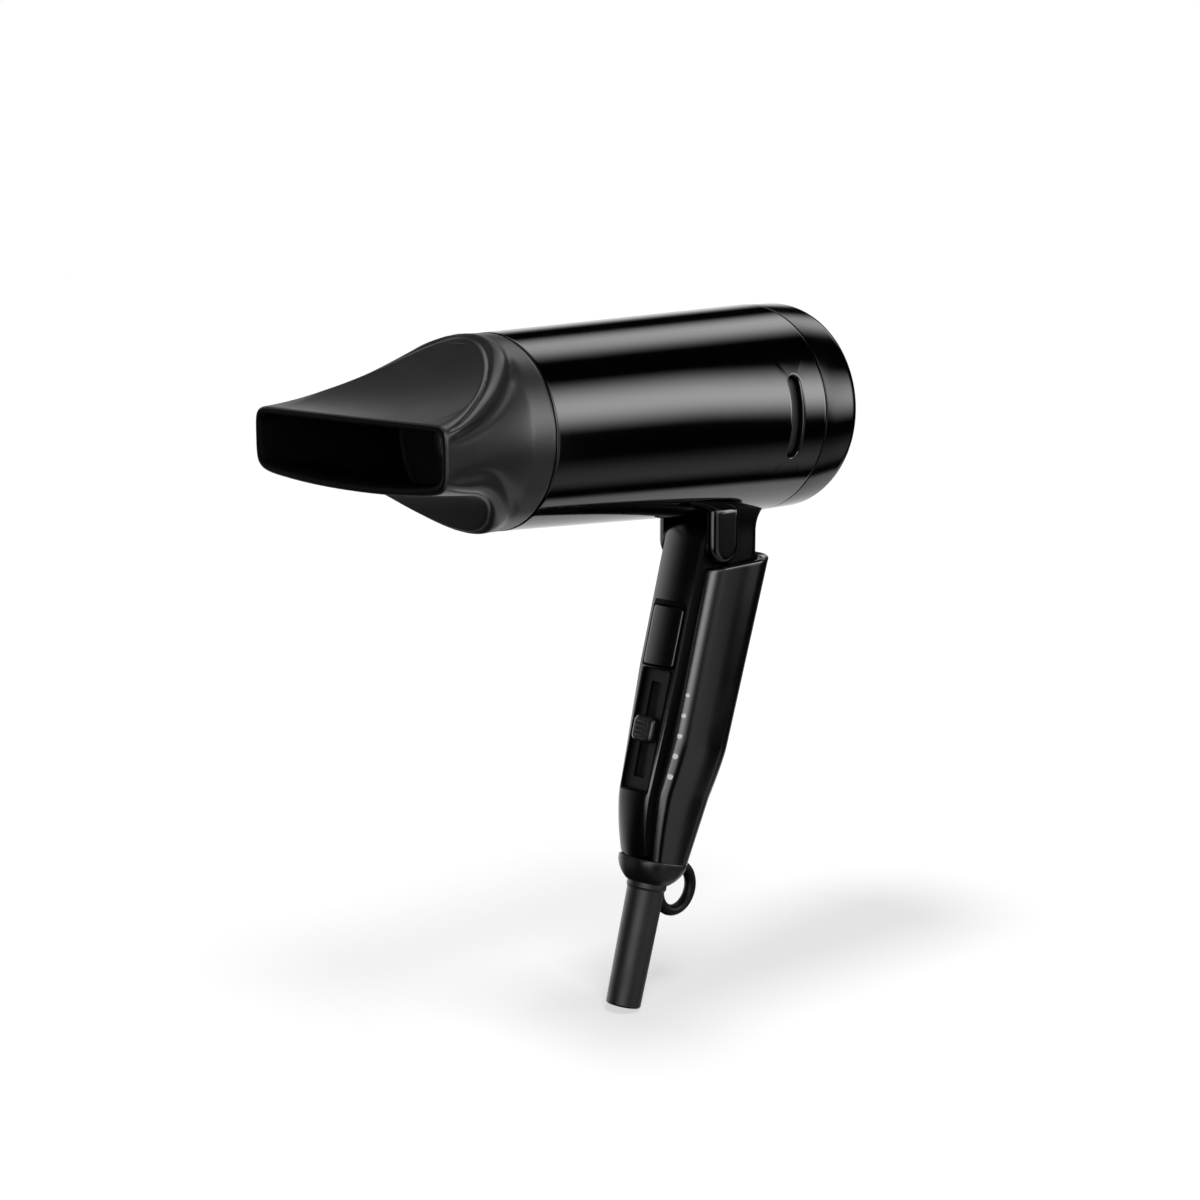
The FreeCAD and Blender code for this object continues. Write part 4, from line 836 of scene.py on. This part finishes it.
def front_strip():
    """Crowned front strip with its two windows and the hinge knuckle above."""
    heights = spaced(0.0, WINDOWS_TOP, 9)[:-1] + spaced(WINDOWS_TOP, WINDOWS_MIDDLE, 22)[:-1]
    heights += spaced(WINDOWS_MIDDLE, WINDOWS_LOW, 38)[:-1] + spaced(WINDOWS_LOW, SHELL_BOTTOM, 16)
    knuckle = [Vector((-PIVOT_AHEAD + KNUCKLE_RADIUS * math.cos(a), KNUCKLE_RADIUS * math.sin(a)))
               for a in spaced(math.radians(-40), math.pi, 44)]
    back = [Vector((-3.6, SHELL_BOTTOM)), Vector((-5.6, -88.0)), Vector((-6.8, -78.0)),
            Vector((-6.8, -14.0)), Vector((-2.2, -5.0))]
    outline = knuckle + [Vector((panel_front(c), c)) for c in heights[1:]] + back
    columns = spaced(-7.1, 7.1, 15)
    edge = [STRIP_HALF - STRIP_EDGE * (1 - math.sin(math.radians(a))) for a in (0, 20, 40, 60, 75, 90)]
    across = [-y for y in reversed(edge)] + columns + edge
    rings = [[in_handle(p.x, strip_side(y, p.y), p.y) for p in inset(outline, crown(y))] for y in across]
    count = len(outline)
    verts = [v for ring in rings for v in ring]
    faces = []
    sides = [tuple(range(count)), tuple(range((len(rings) - 1) * count, len(rings) * count))]
    start = len(knuckle) - 1
    top_index = start + heights.index(WINDOWS_TOP)
    low_index = start + heights.index(WINDOWS_LOW)
    for i in range(len(rings) - 1):
        windowed = len(edge) <= i < len(rings) - 1 - len(edge)
        chosen = faces if len(edge) <= i + 1 <= len(rings) - len(edge) else sides
        for j in range(count):
            if windowed and top_index <= j < low_index:
                continue
            k = (j + 1) % count
            chosen.append((i * count + j, i * count + k, (i + 1) * count + k, (i + 1) * count + j))
    # The strip's sides take the second look, the darker copy: painted shade in the seams beside the strip.
    parts = [(verts, faces), (verts, sides, 1)]
    bevel = ((0.42, 0.0), (0.3, 0.02), (0.1, 0.12), (0.0, 0.35), (0.0, 1.6))
    corner = 1.0
    for high, low, window_top, window_low, half_wide in (
            (WINDOWS_TOP, WINDOWS_MIDDLE, -21.0, -39.4, 6.2),
            (WINDOWS_MIDDLE, WINDOWS_LOW, -40.4, -76.8, 5.2)):
        cells = [c for c in heights if low - 1e-6 <= c <= high + 1e-6]
        border = perimeter(columns, cells)
        half = (half_wide - corner, (window_top - window_low) / 2 - corner)
        around = [[(y, c, 0.0) for y, c in border]]
        around += hole_rings(border, (0.0, (window_top + window_low) / 2), half, corner, bevel)
        rings = [[in_handle(FRONT_FACE + crown(y) + depth, strip_side(y, c), c) for y, c, depth in ring]
                 for ring in around]
        # The windows' bevelled rims take that darker copy too: painted shade that hides their highlights.
        parts += [skin(rings[:2]), (*skin(rings[1:]), 1)]
    return piece("front_strip", parts, [panel_black, seam_painted_shade], "handle", ["front_panel"],
                 sharp=38)


def plate_ring(half_y, half_c, centre_c, corner, u, crowned=False):
    """A round-cornered ring facing forwards; its ends have more points, to follow the crown."""
    steps = [half_y * share for share in (0.6, 0.36, 0.12, -0.12, -0.36, -0.6)]
    end = [(half_y, half_c, corner)] + [(y, half_c, 0) for y in steps] + [(-half_y, half_c, corner)]
    outline = rounded(end + [(-y, -c, radius) for y, c, radius in end], closed=True)
    return [in_handle(u + (crown(p.x) if crowned else 0.0), p.x, centre_c + p.y) for p in outline]


def edge_steps(edge):
    """A quarter-round edge as (distance in, distance back from the face)."""
    return [(edge * (1 - math.cos(a)), edge * (1 - math.sin(a))) for a in spaced(0.0, math.pi / 2, 6)]


def cool_shot():
    """Long button that follows the strip's crown, with softened edges."""
    face, corner, edge = FRONT_FACE - BUTTON_PROUD, 1.2, 0.32
    levels = [(0.0, corner, FRONT_FACE + 2.4, False)]
    levels += [(by, corner - by / 2, face + back, True) for by, back in edge_steps(edge)]
    levels += [(by, max(0.2, corner - by / 5), face, True) for by in (1.0, 1.8, 2.7, 3.6, 4.5, 5.3)]
    rings = [plate_ring(BUTTON_HALF_Y - by, BUTTON_HALF_C - by, BUTTON_C, radius, u, crowned)
             for by, radius, u, crowned in levels]
    return piece("cool_shot_cap", [skin(rings, cap_end=True)], [button_black], "cool_shot",
                 ["cool_shot_button"])


def speed_knob():
    """Slide knob: a round-cornered thumb piece with raised ribs on a stem."""
    face, base = FRONT_FACE - KNOB_PROUD, FRONT_FACE + 1.45
    corner, edge = 1.9, 1.1
    levels = [(0.5, corner, base), (0.1, corner, base - 0.4)]
    levels += [(by, corner - by / 2, face + 0.35 + back) for by, back in edge_steps(edge)]
    levels.append((1.9, 0.9, face + 0.4))
    rings = [plate_ring(KNOB_HALF_Y - by, KNOB_HALF_C - by, KNOB_C, radius, u) for by, radius, u in levels]
    parts = [skin(rings, cap_start=True, cap_end=True)]
    for offset, length in ((-2.1, 2.1), (-0.7, 2.6), (0.7, 2.6), (2.1, 2.1)):
        ribs = [plate_ring(length - by, 0.42 - by, KNOB_C + offset, 0.14, u)
                for by, u in ((0.0, face + 0.6), (0.0, face + 0.2), (0.1, face + 0.05), (0.24, face))]
        parts.append(skin(ribs, cap_end=True))
    stem = [plate_ring(1.9, 1.9, KNOB_C, 0.3, u) for u in (base - 0.3, FRONT_FACE + 4.9)]
    parts.append(skin(stem, cap_end=True))
    return piece("speed_knob", parts, [control_black], "knob", ["slide_knob"])


def walk(line, distance):
    """The point at a distance along a polyline."""
    for before, after in zip(line, line[1:]):
        length = (after - before).length
        if distance <= length:
            return before.lerp(after, distance / length)
        distance -= length
    return line[-1]


def position_marks():
    """Five small printed dots on the shell's near front corner, one for each switch place."""
    for number in range(MARK_COUNT):
        at = KNOB_C + MARK_PITCH * (2 - number)
        size = 0.62 + 0.07 * number
        middle = 3.1
        corner = [p for p in shell_outline(at, -0.04) if p.y < 0 and p.x < SHELL_FRONT + 4.5][1:18]
        rings = []
        for share in (1.0, 0.5, 0.02):
            ring = []
            for over, up in circle(size * share, 24):
                p = walk(corner, middle + over)
                ring.append(in_handle(p.x, p.y, at + up))
            rings.append(ring)
        piece(f"position_mark_{number + 1}", [skin(rings, cap_end=True)], [print_white], "handle")


def lower_collar():
    """Matte collar that draws the handle in to the cord guard."""
    outline = rounded([(-9.4, -9.05, 6.9), (10.5, -9.05, 6.9), (10.5, 9.05, 6.9), (-9.4, 9.05, 6.9)],
                      closed=True, steps=12)
    rings = []
    for c, shrink in ((-97.28, 0.97), (COLLAR_TOP, 0.99), (-97.6, 1.0), (-98.6, 1.0), (-99.8, 0.985),
                      (-101.0, 0.96), (-102.2, 0.925), (-103.2, 0.885), (-104.0, 0.84), (-104.4, 0.79)):
        rounder = min(max((COLLAR_TOP - c) / COLLAR_HEIGHT, 0.0), 1.0) ** 2.2
        moved = [p.lerp(p.normalized() * COLLAR_END_RADIUS, rounder) * shrink for p in outline]
        rings.append([in_handle(p.x, p.y, c) for p in moved])
    inner = [p.normalized() * SLEEVE_RADIUS for p in outline]
    rings.append([in_handle(p.x, p.y, -104.3) for p in inner])
    return piece("lower_collar", [skin(rings, cap_start=True)], [collar_black], "handle", ["end_cap"],
                 sharp=45)


def cord_sleeve():
    """Tapered sleeve for the cord, with a bead where it leaves the collar."""
    profile = rounded([(-99.0, 5.7, 0), (-104.2, 5.7, 0.1), (-104.35, 6.1, 0.3), (-105.9, 6.15, 0.5),
                       (-106.6, SLEEVE_RADIUS, 0.5), (-118.0, 5.65, 20.0), (SLEEVE_END, 5.35, 0.8),
                       (SLEEVE_END, 3.8, 0.5), (SLEEVE_END + 16, 3.4, 0)], steps=8)
    return piece("cord_sleeve", [skin(lathe(profile, round_grip, 96))], [guard_black],
                 "handle", ["cord_guard"], sharp=45)


def wall_loop():
    """Hanging loop moulded on to the collar's rear."""
    section = circle(1.0, 20)
    rings = []
    for around, up in circle(1.0, 72):
        ring = []
        for out, side in section:
            reach = LOOP_REACH + 1.75 * out
            ring.append(in_handle(LOOP_U + reach * around, 1.9 * side, LOOP_C + reach * up))
        rings.append(ring)
    return piece("wall_loop", [skin(rings + [rings[0]])], [loop_black], "handle", ["hanging_loop"],
                 sharp=60)


handle_cover()
front_strip()
cool_shot()
speed_knob()
position_marks()
lower_collar()
cord_sleeve()
wall_loop()


# ---------------------------------------------------------------- floor, light and camera

FLOOR_HALF, FLOOR_GLOW = 6.0, 0.64
SIDE_LIGHT, TOP_LIGHT, LOW_LIGHT, UNDER_LIGHT = 6.3, 2.7, 0.68, 0.4
BACKDROP_LIGHT, LEAST_LIGHT = 2.2, 0.002
CAMERA_PLACE = (-0.47092, -0.44791, 0.15507)
CAMERA_DOWN, CAMERA_TURN = 10.219, -44.329
LENS, SENSOR = 65.67, 36.0


def make_floor():
    """A large pale floor just under the cord sleeve's end."""
    size = FLOOR_HALF
    mesh = bpy.data.meshes.new("floor")
    z = cad_box[0].z - 0.0002
    mesh.from_pydata([(-size, -size, z), (size, -size, z), (size, size, z), (-size, size, z)], [],
                     [(0, 1, 2, 3)])
    material, nodes, place = new_material("floor_white")
    tone = nodes.mix(nodes.noise(place, 6.0, 3.0, 0.5), grey(0.5), grey(0.515))
    matte = nodes.add("ShaderNodeBsdfDiffuse", {"Color": tone})
    glow = nodes.add("ShaderNodeEmission", {"Color": grey(1.0), "Strength": FLOOR_GLOW})
    both = nodes.add("ShaderNodeAddShader", {0: matte.outputs[0], 1: glow.outputs[0]})
    nodes.add("ShaderNodeOutputMaterial", {"Surface": both.outputs[0]})
    mesh.materials.append(material)
    thing = bpy.data.objects.new("floor", mesh)
    bpy.context.scene.collection.objects.link(thing)
    thing.visible_glossy = False


def make_world():
    """Soft studio: long strip lights parallel to the barrel, a pale sweep below and behind.

    Only reflections see it; the camera sees plain white. Angles are in degrees round the barrel's
    axis, 0 on the near side and 90 above. Along is -1 ahead of the nozzle and 1 behind the cap.
    """
    world = bpy.data.worlds.new("studio")
    bpy.context.scene.world = world
    world.use_nodes = True
    world.cycles_visibility.diffuse = False
    nodes = Nodes(world.node_tree)
    direction = nodes.add("ShaderNodeTexCoord").outputs["Generated"]
    split = nodes.add("ShaderNodeSeparateXYZ", {"Vector": direction})
    along = split.outputs["X"]
    near = nodes.product(split.outputs["Y"], -1.0)
    angle = nodes.product(nodes.math("ARCTAN2", split.outputs["Z"], near), 180 / math.pi)

    def strip(rise_from, rise_to, fall_from, fall_to, strength):
        """Light between two angles, with soft edges."""
        return nodes.product(nodes.ramp(angle, rise_from, rise_to),
                             nodes.ramp(angle, fall_from, fall_to, 1.0, 0.0), strength)

    # the side light slants towards the rear, reaches lower far ahead, and is dim abreast of the barrel
    side_angle = nodes.math("ADD", angle, nodes.ramp(along, 0.67, 0.745, -7.0, 8.0, False))
    lowered = nodes.product(nodes.ramp(angle, -42, -12), nodes.ramp(along, -0.75, -0.5, 0.5, 0.0))
    rise = nodes.math("MAXIMUM", nodes.ramp(side_angle, -12, 18), lowered)
    fall = nodes.ramp(side_angle, 19, 53, 1.0, 0.0)
    ends = nodes.math("MAXIMUM", nodes.ramp(along, -0.75, -0.3, 1.0, 0.3), nodes.ramp(along, 0.25, 0.6))
    side = nodes.product(rise, fall, SIDE_LIGHT, ends)

    top = nodes.product(strip(82, 105, 109, 133, TOP_LIGHT), nodes.ramp(along, 0.0, 0.6, 0.3, 1.0))
    low = nodes.product(strip(-50, -24, -4, 8, 1.0), nodes.ramp(along, -0.2, 0.1),
                        nodes.ramp(along, 0.56, 0.63, LOW_LIGHT, 0.0))
    under = strip(-74, -58, -55, -28, UNDER_LIGHT)

    # the sweep, seen at the rear: from straight below round to the far side, and the backdrop there
    below = nodes.product(nodes.ramp(angle, -88, -79, 1.0, 0.0), nodes.ramp(along, 0.48, 0.64))
    backdrop = nodes.product(nodes.ramp(nodes.math("ABSOLUTE", angle), 146, 166),
                             nodes.ramp(along, -0.9, -0.1, 0.0, BACKDROP_LIGHT),
                             nodes.ramp(along, 0.35, 0.6, 1.0, 0.45))
    sweep = nodes.math("MAXIMUM", below, backdrop)

    total = side
    for light in (top, low, under, sweep):
        total = nodes.math("ADD", total, light)
    rear_end = nodes.ramp(along, 0.84, 0.93, 1.0, 0.02)
    total = nodes.math("ADD", nodes.product(total, rear_end), LEAST_LIGHT)
    seen = nodes.add("ShaderNodeLightPath").outputs["Is Camera Ray"]
    studio = nodes.add("ShaderNodeBackground", {"Color": grey(1.0), "Strength": total})
    plain = nodes.add("ShaderNodeBackground", {"Color": grey(1.0), "Strength": 1.0})
    chosen = nodes.add("ShaderNodeMixShader", {0: seen, 1: studio.outputs[0], 2: plain.outputs[0]})
    nodes.add("ShaderNodeOutputWorld", {"Surface": chosen.outputs[0]})


def make_lamp(name, direction, strength, spread):
    """A soft distant lamp, left out of reflections, that casts one of the floor's faint shadows."""
    lamp = bpy.data.lights.new(name, "SUN")
    lamp.energy = strength
    lamp.angle = math.radians(spread)
    thing = bpy.data.objects.new(name, lamp)
    bpy.context.scene.collection.objects.link(thing)
    thing.rotation_euler = Vector(direction).to_track_quat("-Z", "Y").to_euler()
    thing.visible_glossy = False


def make_camera():
    """Ahead of the nozzle on the near side, a little above it and looking slightly down."""
    camera = bpy.data.objects.new("camera", bpy.data.cameras.new("camera"))
    bpy.context.scene.collection.objects.link(camera)
    camera.location = CAMERA_PLACE
    camera.rotation_euler = (math.radians(90 - CAMERA_DOWN), 0, math.radians(CAMERA_TURN))
    camera.data.lens = LENS
    camera.data.sensor_width = SENSOR
    camera.data.clip_start = 0.01
    camera.data.clip_end = 50.0
    bpy.context.scene.camera = camera


make_floor()
make_world()
make_lamp("lamp_over", (0.41, 0.012, -0.912), 1.65, 14)
make_lamp("lamp_front", (0.211, 0.427, -0.879), 0.95, 18)
make_camera()
bpy.context.scene.view_settings.view_transform = "Standard"
